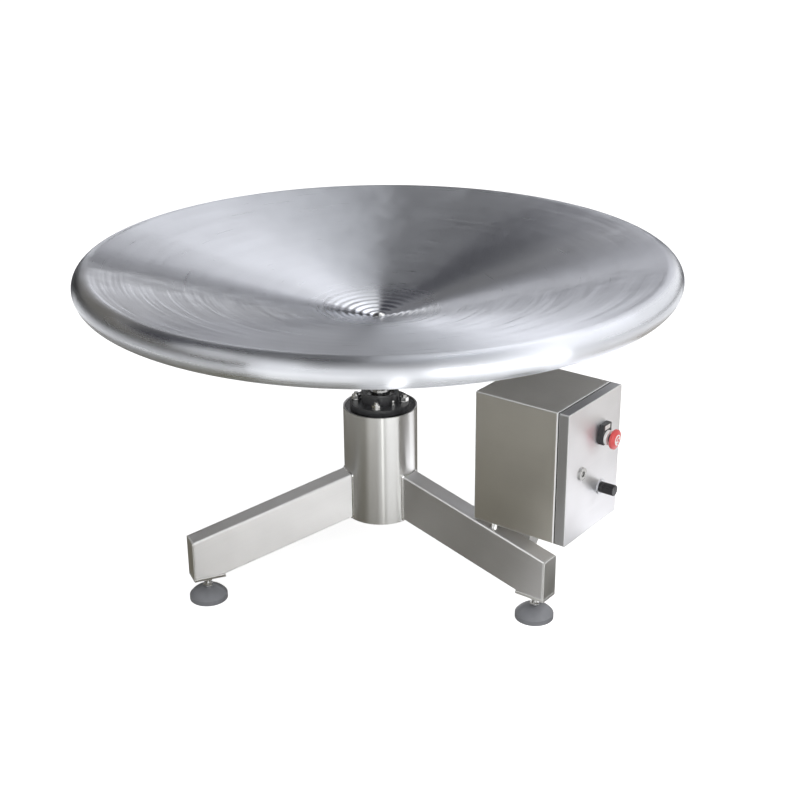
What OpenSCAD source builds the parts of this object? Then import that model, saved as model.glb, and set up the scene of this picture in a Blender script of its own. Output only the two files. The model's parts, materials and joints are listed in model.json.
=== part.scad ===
// Rotary accumulation table. A spun dish with a rolled rim turns on a shaft in a flange bearing. A gearmotor
// inside the column drives the shaft through a jaw coupling. Three sloping legs stand on levelling feet, and
// one of them carries a folded control box. +Z is up, the column's axis is the Z axis and the floor is Z = 0.

/* [Dish] */
// Outside diameter over the rolled rim
dish_d = 1200; // [1050:10:1400]
// Height of the rim's crest above the floor
table_h = 690; // [660:5:760]
// Depth of the dish at its centre, below the crest
dish_depth = 130; // [110:1:150]
// Bow of the dish wall below a straight cone
dish_sag = 5; // [3:0.5:8]
// Sheet thickness of the dish
dish_sheet = 2; // [1.5:0.5:3]
// Outside radius of the rolled rim
rim_r = 28; // [22:1:34]
// Turn of the rolled rim, from the dish wall to its free edge
rim_roll = 235; // [190:5:270]
// Head diameter of the screw at the dish's centre
screw_head_d = 24; // [20:1:30]
// Height of that head above the dish
screw_head_h = 6; // [4:0.5:9]
// Thread diameter of that screw
screw_d = 12; // [10:1:14]
// Length of that screw below the dish
screw_l = 32; // [24:1:36]

/* [Hub and shaft] */
// Diameter of the drive shaft
shaft_d = 30; // [26:1:33]
// Outside diameter of the hub's sleeve
hub_d = 58; // [50:1:70]
// Length of the hub below the dish
hub_l = 96; // [80:1:110]
// Length of shaft that shows between the hub and the bearing's boss
shaft_show = 64; // [40:1:90]
// Diameter of the hub's flange under the dish
hub_flange_d = 240; // [200:5:300]
// Thickness of the hub's flange
hub_flange_t = 8; // [6:1:12]
// Number of ribs between sleeve and flange
rib_count = 6; // [4:1:8]
// Thickness of a rib
rib_t = 6; // [4:1:8]

/* [Bearing] */
// Diameter of the bearing's mounting flange
flange_d = 125; // [118:1:132]
// Thickness of the mounting flange
flange_t = 12; // [9:1:16]
// Diameter of the bearing's boss and spigot
boss_d = 78; // [72:1:82]
// Height of the boss above the column's top plate
boss_h = 32; // [30:1:40]
// Length of the spigot in the column's top plate
spigot_h = 6; // [4:1:8]
// Outside diameter of the bearing
bearing_d = 62; // [60:1:64]
// Width of the outer ring
outer_ring_w = 19; // [16:1:20]
// Width of the inner ring
inner_ring_w = 38; // [34:1:42]
// Ball diameter
ball_d = 9.2; // [8:0.1:10]
// Diameter of the circle through the balls
ball_pitch_d = 46.5; // [45:0.5:48]
// Number of balls
ball_count = 9; // [7:1:10]
// Diameter of the circle through the flange bolts
bolt_pcd = 100; // [96:1:104]
// Thread diameter of the flange bolts
bolt_d = 10; // [8:1:11]
// Turn of the bolt circle from the control box's leg
bolt_turn = 29; // [0:1:89]

/* [Column] */
// Outside diameter of the column
column_d = 154; // [144:1:180]
// Wall of the column
column_wall = 3; // [2:0.5:4]
// Length of the column below the legs' lower edge
column_below = 3; // [1:0.5:12]
// Thickness of the top plate
plate_t = 10; // [8:1:14]
// Depth of the top plate below the column's upper end
plate_recess = 2; // [0.5:0.5:5]
// Thickness of the bottom cover
cover_t = 3; // [2:0.5:5]

/* [Drive] */
// Outside diameter of the jaw coupling
coupling_d = 42; // [38:1:52]
// Length of each coupling hub
coupling_hub_l = 20; // [16:1:24]
// Thickness of the elastic spider
spider_t = 10; // [8:1:14]
// Space between the top plate and the coupling
coupling_drop = 8; // [7.5:0.5:12]
// Thickness of the motor plate
motor_plate_t = 8; // [6:1:12]
// Space between the coupling and the motor plate
motor_drop = 8; // [7:0.5:12]
// Width of the square gearbox
gearbox_w = 90; // [80:1:95]
// Height of the gearbox
gearbox_h = 60; // [45:1:65]
// Diameter of the gearbox's output shaft
output_d = 15; // [12:1:18]
// Diameter of the motor
motor_d = 84; // [70:1:90]
// Distance of the motor screws from the axis, each way
motor_screw_at = 35; // [30:1:36]

/* [Legs] */
// Width of a leg
leg_w = 44; // [38:1:50]
// Height of a leg's section, square to its slope
leg_height = 97; // [85:1:105]
// Wall of a leg
leg_wall = 3; // [2:0.5:4]
// Outside corner radius of a leg's section
leg_corner = 4.5; // [4.5:0.5:8]
// Fall of a leg below the horizontal
leg_slope = 14.5; // [12:0.5:16]
// Distance of a leg's outer face from the column's axis
leg_reach = 421; // [400:1:470]
// Thickness of a leg's end cap
cap_t = 3; // [2:0.5:5]

/* [Feet] */
// Height of a foot plate's underside above the floor
foot_gap = 52; // [49:1:58]
// Thickness of a foot plate
foot_plate_t = 6; // [5:1:8]
// Length of a foot plate along its leg
foot_plate_l = 66; // [58:1:80]
// Thread diameter of a foot's stud
stud_d = 12; // [10:1:14]
// Length of the stud above the foot plate
stud_top = 34; // [20:1:45]
// Diameter of a foot's pad
pad_d = 78; // [60:1:90]
// Height of the pad at its centre
pad_h = 28; // [24:1:29]
// Height of the pad's straight edge
pad_edge_h = 10; // [6:1:14]
// Flat at the top of the pad
pad_top_d = 26; // [24:1:32]
// Height of the hexagon on the stud
stud_hex_h = 7; // [5:1:9]
// Height of a lock nut
nut_h = 9; // [8:1:10]

/* [Control box] */
// Distance of the box's back from the column's axis
box_reach = 251; // [240:1:280]
// Distance of the box's lock side from the leg's centre line
box_side = 18; // [10:1:24]
// Space between the leg and the box at the box's back edge
box_lift = 2; // [1:0.5:6]
// Width of the box
box_w = 200; // [190:1:240]
// Height of the box
box_h = 276; // [260:1:320]
// Depth of the box's body
box_d = 186; // [176:1:210]
// Sheet thickness of the box and its door
box_sheet = 1.5; // [1:0.25:2]
// Outside radius of the folded edges
box_corner = 3; // [2.5:0.5:5]
// Width of the front flange, turned in from the body's walls
lip_in = 14; // [12:1:16]
// Height of the collar that stands on the front flange
lip_h = 11; // [8:1:13]

/* [Door] */
// Space between the box's body and the door's edge
door_gap = 2; // [1.5:0.5:3]
// Depth of the door's folded edge
door_d = 21; // [18:1:26]
// Width of the door's gasket
gasket_w = 10; // [8:1:11]
// Diameter of a hinge barrel
barrel_d = 9; // [8:0.5:9.5]
// Length of a hinge knuckle
knuckle_l = 20; // [14:1:26]
// Diameter of a hinge pin
hinge_pin_d = 5; // [4:0.5:5.5]
// Distance of the hinge axis from the box's side
hinge_out = 5; // [5:0.25:7]
// Thickness of a hinge leaf
leaf_t = 2; // [1.5:0.5:3]
// Length of a hinge leaf along the side
leaf_l = 18; // [12:1:18]
// Distance of each hinge from the box's lower and upper edge
hinge_inset = 35; // [25:1:60]

/* [Lock] */
// Distance of the lock from the door's lock edge
lock_across = 58; // [50:1:60]
// Height of the lock above the door's lower edge
lock_up = 135; // [110:1:170]
// Diameter of the lock's front collar
lock_collar_d = 26; // [24:1:32]
// Height of that collar
lock_collar_h = 3; // [2:0.5:5]
// Diameter of the lock's barrel
lock_d = 20; // [18:1:22]
// Diameter of the turning core
core_d = 14; // [12:0.5:15]
// Width of the square end that carries the cam
core_square = 8; // [6:0.5:8]
// Width of the cam
cam_w = 16; // [14:1:20]
// Thickness of the cam
cam_t = 3; // [2:0.5:4]
// Reach of the cam from the lock's axis
cam_l = 50; // [48:0.5:54]

/* [Emergency stop] */
// Distance of the emergency stop from the door's lock edge
estop_across = 133; // [125:1:140]
// Height of the emergency stop above the door's lower edge
estop_up = 188; // [180:1:200]
// Diameter of the mushroom head
estop_head_d = 40; // [36:1:46]
// Height of the mushroom head
estop_head_h = 13; // [11:0.5:18]
// Travel of the button
estop_travel = 5; // [3:0.5:6]
// Diameter of the button's body, in the door
estop_body_d = 22; // [20:1:24]
// Diameter of the collar in front of the legend holder
estop_collar_d = 30; // [28:1:34]
// Height of that collar
estop_collar_h = 6; // [4:0.5:9]
// Diameter of the plunger
plunger_d = 16; // [14:1:17]
// Width of the legend holder
legend_w = 30; // [28:1:36]
// Height of the legend holder
legend_h = 42; // [40:1:50]
// Thickness of the legend holder
legend_t = 10; // [6:1:12]
// Height of the legend holder's centre above the button's axis
legend_rise = 8; // [7:0.5:9]
// Width of the contact block
contact_w = 30; // [28:1:36]
// Height of the contact block
contact_h = 40; // [34:1:46]
// Depth of the contact block behind the door
contact_d = 42; // [38:1:50]

/* [Speed knob] */
// Distance of the knob from the door's lock edge
knob_across = 135; // [120:1:145]
// Height of the knob above the door's lower edge
knob_up = 78; // [60:1:100]
// Diameter of the knob
knob_d = 22; // [20:1:28]
// Projection of the knob from the door
knob_h = 32; // [22:1:36]
// Number of flutes round the knob
knob_flutes = 16; // [10:1:18]
// Diameter of the dial plate
dial_d = 31; // [29:1:40]
// Thickness of the dial plate
dial_t = 2; // [1:0.5:3]
// Diameter of the potentiometer
pot_d = 24; // [18:1:30]
// Depth of the potentiometer behind the door
pot_l = 14; // [12:1:20]
// Diameter of the potentiometer's threaded bush
bush_d = 10; // [9:0.5:11]
// Diameter of the spindle
spindle_d = 6; // [5:0.5:6.5]

/* [Inside the box] */
// Space between the box's back and the mounting panel
panel_space = 12; // [10:1:16]
// Thickness of the mounting panel
panel_t = 2; // [1.5:0.5:3]
// Space between the mounting panel's edges and the box's walls
panel_margin = 20; // [18:1:24]
// Height of the rail above the box's lower edge
rail_up = 200; // [190:1:205]
// Height of the top-hat rail
rail_w = 35; // [32:1:36]
// Depth of the top-hat rail
rail_d = 7.5; // [6:0.5:9]
// Sheet of the rail
rail_t = 1; // [0.8:0.1:1.5]
// Width of the power relay
relay_w = 45; // [40:1:54]
// Height of the power relay
relay_h = 75; // [70:1:80]
// Depth of the power relay
relay_d = 70; // [60:1:80]
// Number of terminals
terminal_count = 6; // [4:1:7]
// Width of a terminal
terminal_w = 8; // [6:0.5:9]
// Height of a terminal
terminal_h = 48; // [42:1:54]
// Depth of a terminal
terminal_d = 40; // [32:1:46]
// Width of the speed controller
controller_w = 105; // [90:1:120]
// Height of the speed controller
controller_h = 84; // [70:1:90]
// Depth of the speed controller
controller_d = 60; // [45:1:70]

/* [Box mounting] */
// Distance of the bracket's inner edge from the box's back
bracket_at = 34; // [30:1:44]
// Length of the bracket along the leg
bracket_l = 74; // [66:1:80]
// Thickness of the bracket
bracket_t = 4; // [3:0.5:5]
// Reach of the bracket under the box, from the leg's face
bracket_reach = 105; // [90:1:115]
// Lap of the bracket on the leg's face below the leg's upper edge
bracket_lap = 44; // [40:1:54]
// Thread diameter of the mounting bolts
mount_bolt_d = 8; // [6:1:10]
// Distance of the stand-off from the box's back
standoff_at = 40; // [30:1:50]
// Diameter of the stand-off
standoff_d = 16; // [14:1:18]
// Distance of the stand-off from the leg's centre line, towards the lock side
standoff_side = 7; // [4:1:9]
// Thread diameter of a cable gland
gland_d = 16; // [12:1:20]
// Diameter of a cable gland's bore
gland_bore_d = 10; // [6:0.5:11]
// Length of a cable gland below its wall
gland_l = 22; // [16:1:28]
// Distance of the first gland from the box's back
gland_at = 45; // [36:1:50]
// Distance between the glands
gland_pitch = 40; // [34:1:46]
// Distance of the glands from the box's hinge side
gland_side = 40; // [36:1:44]

/* [Fits] */
// Gap between pieces that are pressed or screwed together
seat_fit = 0.02; // [0.01:0.01:0.05]
// Gap between a shaft and the hole that it turns or slides in
run_fit = 0.05; // [0.02:0.01:0.1]
// Gap between curved faces that only lie on each other
lay_gap = 0.2; // [0.1:0.05:0.4]
// Gap between faces that pass each other
pass_gap = 0.4; // [0.3:0.1:0.6]
// Gap between a ball and its track
race_gap = 0.25; // [0.15:0.05:0.3]
// Gap round a bolt in its clearance hole
bolt_gap = 0.3; // [0.2:0.1:0.5]

/* [Hidden] */
$fn = 96;
arc_fn = 1440;
over = 1;

// Dish wall: an arc that starts at the axis and runs tangentially into the rolled rim
dish_low = table_h - dish_depth;
rim_centre = [dish_d / 2 - rim_r, table_h - rim_r];
rim_line = rim_centre - [0, dish_low];
rim_dist = norm(rim_line);
rim_unit = rim_line / rim_dist;
bowl_r = rim_dist * rim_dist / (8 * dish_sag);
bowl_along = (rim_dist * rim_dist + bowl_r * bowl_r - pow(bowl_r + rim_r, 2)) / (2 * rim_dist);
bowl_aside = sqrt(bowl_r * bowl_r - bowl_along * bowl_along);
bowl_centre = [0, dish_low] + bowl_along * rim_unit + bowl_aside * [-rim_unit.y, rim_unit.x];
bowl_dir = bowl_centre - rim_centre;
rim_start = atan2(bowl_dir.y, bowl_dir.x);
screw_hole_d = screw_d + 2 * bolt_gap;

// Hub and shaft
hub_seat_bow = hub_flange_d * hub_flange_d / (32 * bowl_r);
hub_low = dish_low - dish_sheet - hub_l;
shaft_r = shaft_d / 2;
shaft_high = dish_low - dish_sheet - over;
rib_foot = 8;
rib_edge = 8;

// Legs: the slope runs up from the inner end of the foot plate
leg_half = leg_height / (2 * cos(leg_slope));
foot_plate_high = foot_gap + foot_plate_t;
foot_plate_in = leg_reach - foot_plate_l;
leg_axis_z = foot_plate_high + foot_plate_in * tan(leg_slope) + leg_half;

// Column, bearing and drive, from the top plate down
column_r = column_d / 2;
column_z = leg_axis_z - leg_half - column_r * tan(leg_slope) - column_below;
column_bore_r = column_r - column_wall;
plate_high = hub_low - shaft_show - boss_h;
column_high = plate_high + plate_recess;
column_h = column_high - column_z;
plate_low = plate_high - plate_t;
flange_high = plate_high + flange_t;
bearing_mid = plate_high + boss_h / 2;
ring_half = outer_ring_w / 2;
track_r = ball_d / 2 + race_gap;
land = ball_d * 0.3;
inner_land_r = ball_pitch_d / 2 - land;
outer_land_r = ball_pitch_d / 2 + land;
shield_t = 1;
coupling_high = plate_low - coupling_drop;
spider_high = coupling_high - coupling_hub_l;
spider_low = spider_high - spider_t;
coupling_low = spider_low - coupling_hub_l;
motor_plate_high = coupling_low - motor_drop;
motor_plate_low = motor_plate_high - motor_plate_t;
gearbox_low = motor_plate_low - gearbox_h;
cover_high = column_z + cover_t;
motor_rise = 4;
motor_low = cover_high + motor_rise;
output_in = 26;
jaw_angle = 36;
spider_body_d = coupling_d / 2;
spider_bore_r = 7;
gearbox_corner = 8;
motor_pilot_d = 2 * coupling_d / 3;

// Legs and feet
leg_angles = [0, 120, 240];
foot_at = leg_reach - foot_plate_l / 2;
stud_socket = 14;
pad_dome_z = (pad_h + pad_edge_h) / 2 - (pad_d * pad_d - pad_top_d * pad_top_d) / (8 * (pad_h - pad_edge_h));
pad_dome_r = norm([pad_d / 2, pad_edge_h - pad_dome_z]);
hex_ratio = 1.75;
nut_ratio = 1.9;

// Control box: local X runs from its back to the door, local Y from the lock side to the hinge side
box_z = leg_top(box_reach) + box_lift;
inner_corner = box_corner - box_sheet;
door_front = box_d + door_gap + door_d;
hinge_x = box_d + door_gap / 2;
hinge_y = box_w + hinge_out;
hinge_levels = [hinge_inset, box_h - hinge_inset - 2 * knuckle_l];
pin_head_d = 8;
pin_head_h = 2;
lip_mid = lip_in + box_sheet / 2;
gasket_t = door_gap + door_d - box_sheet - lip_h - pass_gap;
cam_front = -(door_gap + door_d + box_sheet + pass_gap);
core_back = cam_front - cam_t - over;
lock_back = cam_front + pass_gap + over;
lock_recess = 7;
lock_recess_d = 11;
lock_key_d = 8;

// Emergency stop and speed knob: heights above the door's face
collar_high = legend_t + estop_collar_h;
head_low = collar_high + estop_travel + pass_gap;
estop_spigot_d = 12;
estop_spigot_h = 8;
estop_neck_d = 20;
estop_seat = 10;
plunger_back = estop_seat + 2;
insert_w = 20;
insert_h = 9;
insert_t = 1;
insert_rise = 14;
legend_corner = 3;
bush_high = dial_t + 6;
knob_low = dial_t + pass_gap;
knob_recess_d = 15;
flute_d = 2.6;
pointer_w = 1.6;

// Mounting panel and what it carries
panel_high = box_sheet + panel_space + panel_t;
pillar_d = 10;
screw_m6 = 6;
screw_m6_head_d = 10;
screw_m6_head_h = 6;
panel_w = box_w - 2 * panel_margin;
panel_h = box_h - 2 * panel_margin;
panel_hole_in = 8;
rail_l = panel_w - 4 * panel_hole_in;
rail_y = box_w / 2 - rail_l / 2;
rail_face = panel_high + rail_d;
controller_up = panel_margin + 26;
fin_count = 7;
fin_d = 10;

// Bracket, bolts and glands
head_h = 0.65 * mount_bolt_d;
mount_nut_h = 0.8 * mount_bolt_d;
bracket_bolt_in = 12;
washer_t = 1.5;
gland_nut_h = 5;
gland_hex_h = 8;
column_gland_at = 56;

// Height of a leg's upper face at a distance from the axis
function leg_top(x) = leg_axis_z + leg_half - x * tan(leg_slope);

// Height of the dish wall at a distance from the axis, moved below its upper face by a depth
function bowl_z(x, depth) = bowl_centre.y - sqrt(pow(bowl_r + depth, 2) - pow(x - bowl_centre.x, 2));

// Height of the hub's straight seat, which clears the bowed wall all the way across
function hub_seat(x) = let (high = bowl_z(hub_flange_d / 2, dish_sheet), low = bowl_z(0, dish_sheet))
    low + (high - low) * 2 * x / hub_flange_d - hub_seat_bow - lay_gap;

// Rectangle with round corners, centred
module round_rect(w, h, r) {
    square([w - 2 * r, h], center = true);
    square([w, h - 2 * r], center = true);
    for (x = [-1, 1], y = [-1, 1])
        translate([x * (w / 2 - r), y * (h / 2 - r)])
            circle(r);
}

// Wedge of a circle between two angles
module sector(r, from, to) {
    steps = ceil((to - from) / 45);
    polygon(concat([[0, 0]], [for (i = [0 : steps]) r * [
        cos(from + (to - from) * i / steps),
        sin(from + (to - from) * i / steps)
    ]]));
}

// Everything above the dish wall, in section, with the wall moved down by a depth
module above_bowl(depth) {
    translate(bowl_centre)
        circle(bowl_r + depth, $fn = arc_fn);
}

// Upright tube
module pipe(outer_d, inner_d, h) {
    difference() {
        cylinder(d = outer_d, h = h);
        translate([0, 0, -over])
            cylinder(d = inner_d, h = h + 2 * over);
    }
}

// Hexagon prism across corners
module hex(d, h) {
    cylinder(d = d, h = h, $fn = 6);
}

// Solid bar along a leg, from the column's axis outwards
module leg_bar(w, h, r) {
    translate([0, 0, leg_axis_z])
        rotate([0, 90 + leg_slope, 0])
            linear_extrude(leg_reach / cos(leg_slope) + leg_height)
                round_rect(h, w, r);
}

// Keeps what lies above the foot plate and between two distances from the axis
module leg_trim(from, to) {
    intersection() {
        children();
        translate([from, -leg_w, foot_plate_high])
            cube([to - from, 2 * leg_w, leg_axis_z + leg_height]);
    }
}

module leg_tube() {
    difference() {
        leg_trim(0, leg_reach - cap_t)
            leg_bar(leg_w, leg_height, leg_corner);
        leg_bar(leg_w - 2 * leg_wall, leg_height - 2 * leg_wall, leg_corner - leg_wall);
        translate([0, 0, column_z - leg_height])
            cylinder(r = column_r, h = column_h + leg_height);
    }
}

module at_legs() {
    for (a = leg_angles)
        rotate([0, 0, a])
            children();
}

module at_foot(i) {
    rotate([0, 0, leg_angles[i]])
        translate([foot_at, 0, 0])
            children();
}

module at_box() {
    translate([box_reach, -box_side, box_z])
        children();
}

// Place on the door's face: local Z points out of the door and local X points down
module on_door(across, up) {
    at_box()
        translate([door_front, across, up])
            rotate([0, 90, 0])
                children();
}

// Frame section of the box, drawn square to the box's depth, inset from its outline
module box_outline(inset, r) {
    translate([box_h / 2, box_w / 2])
        round_rect(box_h - 2 * inset, box_w - 2 * inset, r);
}

// Prism along the box's depth
module along_box(from, l) {
    translate([from, 0, box_h])
        rotate([0, 90, 0])
            linear_extrude(l)
                children();
}

module at_bolts(pcd) {
    for (i = [0 : 3])
        rotate([0, 0, bolt_turn + 90 * i])
            translate([pcd / 2, 0, 0])
                children();
}

module at_motor_screws() {
    for (x = [-1, 1], y = [-1, 1])
        translate([x * motor_screw_at, y * motor_screw_at, 0])
            children();
}

// Centres of the mounting panel's screws, on the box's back
module at_panel_screws() {
    for (y = [-1, 1], z = [-1, 1])
        translate([
            box_sheet,
            box_w / 2 + y * (panel_w / 2 - panel_hole_in),
            box_h / 2 + z * (panel_h / 2 - panel_hole_in)
        ])
            rotate([0, 90, 0])
                children();
}

module at_box_glands() {
    at_box()
        for (i = [0, 1])
            translate([gland_at + i * gland_pitch, box_w - gland_side, 0])
                children();
}

module at_column_gland() {
    rotate([0, 0, (leg_angles[0] + leg_angles[1]) / 2])
        translate([column_gland_at, 0, column_z])
            children();
}

// Bolts of the bracket: up through its shelf into the box, and across into the leg
module at_shelf_bolts() {
    for (x = [bracket_bolt_in, bracket_l - bracket_bolt_in])
        translate([
            box_reach + bracket_at + x,
            leg_w / 2 + bracket_reach - 2 * bracket_bolt_in,
            box_z
        ])
            children();
}

module at_leg_bolts() {
    for (x = [bracket_bolt_in, bracket_l - bracket_bolt_in])
        translate([
            box_reach + bracket_at + x,
            leg_w / 2,
            leg_top(box_reach + bracket_at + x) - bracket_lap / 2
        ])
            rotate([-90, 0, 0])
                children();
}

module at_standoff() {
    translate([box_reach + standoff_at, -standoff_side, 0])
        children();
}

// Turntable

module dish() {
    color("silver")
        rotate_extrude() {
            intersection() {
                difference() {
                    above_bowl(dish_sheet);
                    above_bowl(0);
                }
                polygon([
                    [screw_hole_d / 2, dish_low - rim_r],
                    rim_centre,
                    rim_centre + 2 * rim_r * [cos(rim_start), sin(rim_start)],
                    [screw_hole_d / 2, table_h + rim_r]
                ]);
            }
            translate(rim_centre)
                intersection() {
                    difference() {
                        circle(rim_r);
                        circle(rim_r - dish_sheet);
                    }
                    sector(2 * rim_r, rim_start - rim_roll, rim_start);
                }
        }
}

module dish_hub() {
    bore_r = shaft_r + seat_fit;
    sleeve_r = hub_d / 2;
    flange_r = hub_flange_d / 2;
    rib_out = flange_r - rib_edge;
    color("lightgray") {
        rotate_extrude()
            polygon([
                [bore_r, hub_low],
                [sleeve_r, hub_low],
                [sleeve_r, hub_seat(sleeve_r) - hub_flange_t],
                [flange_r, hub_seat(flange_r) - hub_flange_t],
                [flange_r, hub_seat(flange_r)],
                [bore_r, hub_seat(bore_r)]
            ]);
        for (i = [0 : rib_count - 1])
            rotate([0, 0, 360 * i / rib_count])
                translate([0, rib_t / 2, 0])
                    rotate([90, 0, 0])
                        linear_extrude(rib_t)
                            polygon([
                                [sleeve_r - over, hub_low + rib_foot],
                                [sleeve_r + rib_foot, hub_low + rib_foot],
                                [rib_out, hub_seat(rib_out) - hub_flange_t - rib_foot],
                                [rib_out, hub_seat(rib_out) - hub_flange_t / 2],
                                [sleeve_r - over, hub_seat(sleeve_r) - hub_flange_t / 2]
                            ]);
    }
}

module centre_screw() {
    head_r = screw_head_d / 2;
    rim_z = bowl_z(head_r, 0);
    dome = screw_head_h * 0.7;
    dome_r = (head_r * head_r + dome * dome) / (2 * dome);
    color("gainsboro")
        rotate_extrude() {
            intersection() {
                translate([0, rim_z + screw_head_h - dome_r])
                    circle(dome_r);
                polygon([
                    [0, dish_low + lay_gap],
                    [head_r, rim_z + lay_gap],
                    [head_r, rim_z + screw_head_h],
                    [0, rim_z + screw_head_h]
                ]);
            }
            translate([0, dish_low - screw_l])
                square([screw_d / 2, screw_l + over]);
        }
}

module drive_shaft() {
    color("gainsboro")
        difference() {
            translate([0, 0, spider_high])
                cylinder(r = shaft_r, h = shaft_high - spider_high);
            translate([0, 0, dish_low - screw_l - over])
                cylinder(d = screw_d + 2 * seat_fit, h = screw_l + 2 * over);
        }
}

module bearing_inner_ring() {
    color("gray")
        rotate_extrude()
            difference() {
                translate([shaft_r + seat_fit, bearing_mid - inner_ring_w / 2])
                    square([inner_land_r - shaft_r - seat_fit, inner_ring_w]);
                translate([ball_pitch_d / 2, bearing_mid])
                    circle(track_r);
            }
}

module bearing_balls() {
    color("white")
        for (i = [0 : ball_count - 1])
            rotate([0, 0, 360 * i / ball_count])
                translate([ball_pitch_d / 2, 0, bearing_mid])
                    sphere(d = ball_d);
}

// Turned coupling hub that starts at a height, with its bore, milled down to three jaws beside the spider
module coupling_hub(low, bore_low, bore_d, cut_low, jaw_at) {
    gap_angle = 120 - jaw_angle;
    difference() {
        translate([0, 0, low])
            cylinder(d = coupling_d, h = coupling_hub_l + spider_t);
        translate([0, 0, bore_low])
            cylinder(d = bore_d, h = coupling_hub_l + over);
        translate([0, 0, cut_low])
            cylinder(d = spider_body_d, h = spider_t + over);
        for (i = [0 : 2])
            rotate([0, 0, jaw_at + 60 + 120 * i])
                translate([0, 0, cut_low])
                    linear_extrude(spider_t + over)
                        sector(coupling_d, -gap_angle / 2, gap_angle / 2);
    }
}

module coupling_upper_hub() {
    color("darkgray")
        coupling_hub(spider_low, spider_high, shaft_d + 2 * seat_fit, spider_low - over, 0);
}

module coupling_lower_hub() {
    color("darkgray")
        coupling_hub(coupling_low, coupling_low - over, output_d + 2 * seat_fit, spider_low, 60);
}

module coupling_spider() {
    side = 1;
    arm_angle = 60 - jaw_angle - 2 * side;
    color("firebrick")
        translate([0, 0, spider_low])
            linear_extrude(spider_t)
                difference() {
                    union() {
                        circle(d = spider_body_d - 2 * pass_gap);
                        for (i = [0 : 5])
                            rotate([0, 0, 30 + 60 * i])
                                intersection() {
                                    circle(d = coupling_d - 2 * side);
                                    sector(coupling_d, -arm_angle / 2, arm_angle / 2);
                                }
                    }
                    circle(spider_bore_r);
                }
}

module motor_output_shaft() {
    color("gainsboro")
        translate([0, 0, motor_plate_low - output_in])
            cylinder(d = output_d, h = spider_low - motor_plate_low + output_in);
}

// Column

module column_tube() {
    color("silver")
        translate([0, 0, column_z])
            pipe(column_d, 2 * column_bore_r, column_h);
}

module column_top_plate() {
    color("dimgray")
        difference() {
            translate([0, 0, plate_low])
                pipe(2 * (column_bore_r - seat_fit), boss_d + 2 * seat_fit, plate_t);
            at_bolts(bolt_pcd)
                translate([0, 0, plate_low - over])
                    cylinder(d = bolt_d + 2 * bolt_gap, h = plate_t + 2 * over);
        }
}

module motor_plate() {
    color("darkgray")
        difference() {
            translate([0, 0, motor_plate_low])
                pipe(2 * (column_bore_r - seat_fit), motor_pilot_d, motor_plate_t);
            at_motor_screws()
                translate([0, 0, motor_plate_low - over])
                    cylinder(d = screw_m6 + 2 * bolt_gap, h = motor_plate_t + 2 * over);
        }
}

module column_bottom_cover() {
    color("dimgray")
        difference() {
            translate([0, 0, column_z])
                cylinder(r = column_bore_r - seat_fit, h = cover_t);
            at_column_gland()
                translate([0, 0, -over])
                    cylinder(d = gland_d + 2 * seat_fit, h = cover_t + 2 * over);
        }
}

module gearbox() {
    color("gray")
        difference() {
            translate([0, 0, gearbox_low])
                linear_extrude(gearbox_h)
                    round_rect(gearbox_w, gearbox_w, gearbox_corner);
            translate([0, 0, motor_plate_low - output_in])
                cylinder(d = output_d + 2 * run_fit, h = output_in + over);
            at_motor_screws()
                translate([0, 0, motor_plate_low - 2 * screw_m6])
                    cylinder(d = screw_m6 + 2 * seat_fit, h = 2 * screw_m6 + over);
        }
}

module gear_motor() {
    color("slategray")
        translate([0, 0, motor_low])
            cylinder(d = motor_d, h = gearbox_low - motor_low);
}

// Socket screw: its head stands on Z = 0 and its thread runs down
module socket_screw(l) {
    difference() {
        cylinder(d = screw_m6_head_d, h = screw_m6_head_h);
        translate([0, 0, screw_m6_head_h / 2])
            hex(screw_m6, screw_m6_head_h);
    }
    translate([0, 0, -l])
        cylinder(d = screw_m6, h = l + over);
}

module socket_screws() {
    color("darkslategray") {
        at_motor_screws()
            translate([0, 0, motor_plate_high])
                socket_screw(motor_plate_t + screw_m6);
        at_box()
            at_panel_screws()
                translate([0, 0, panel_space + panel_t])
                    socket_screw(panel_t + screw_m6);
    }
}

// Legs and feet

module control_leg() {
    color("silver")
        difference() {
            rotate([0, 0, leg_angles[0]])
                leg_tube();
            at_leg_bolts()
                translate([0, 0, -leg_wall - over])
                    cylinder(d = mount_bolt_d + 2 * seat_fit, h = leg_wall + 2 * over);
            at_standoff()
                translate([0, 0, leg_top(box_reach + standoff_at) - 4 * leg_wall])
                    cylinder(d = mount_bolt_d + 2 * seat_fit, h = 8 * leg_wall);
        }
}

module rear_leg() {
    color("silver")
        rotate([0, 0, leg_angles[1]])
            leg_tube();
}

module left_leg() {
    color("silver")
        rotate([0, 0, leg_angles[2]])
            leg_tube();
}

module leg_end_caps() {
    color("silver")
        at_legs()
            leg_trim(leg_reach - cap_t, leg_reach)
                leg_bar(leg_w, leg_height, leg_corner);
}

module foot_plates() {
    color("silver")
        at_legs()
            difference() {
                translate([foot_plate_in, -leg_w / 2, foot_gap])
                    cube([foot_plate_l, leg_w, foot_plate_t]);
                translate([foot_at, 0, foot_gap - over])
                    cylinder(d = stud_d + 2 * run_fit, h = foot_plate_t + 2 * over);
            }
}

module foot_lock_nuts() {
    color("gainsboro")
        for (i = [0 : 2])
            at_foot(i)
                translate([0, 0, foot_gap - nut_h])
                    difference() {
                        hex(nut_ratio * stud_d, nut_h);
                        translate([0, 0, -over])
                            cylinder(d = stud_d + 2 * run_fit, h = nut_h + 2 * over);
                    }
}

module foot_stud(i) {
    color("gainsboro")
        at_foot(i) {
            translate([0, 0, pad_h - stud_socket])
                cylinder(d = stud_d, h = foot_plate_high + stud_top - pad_h + stud_socket);
            translate([0, 0, pad_h])
                hex(hex_ratio * stud_d, stud_hex_h);
        }
}

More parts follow.
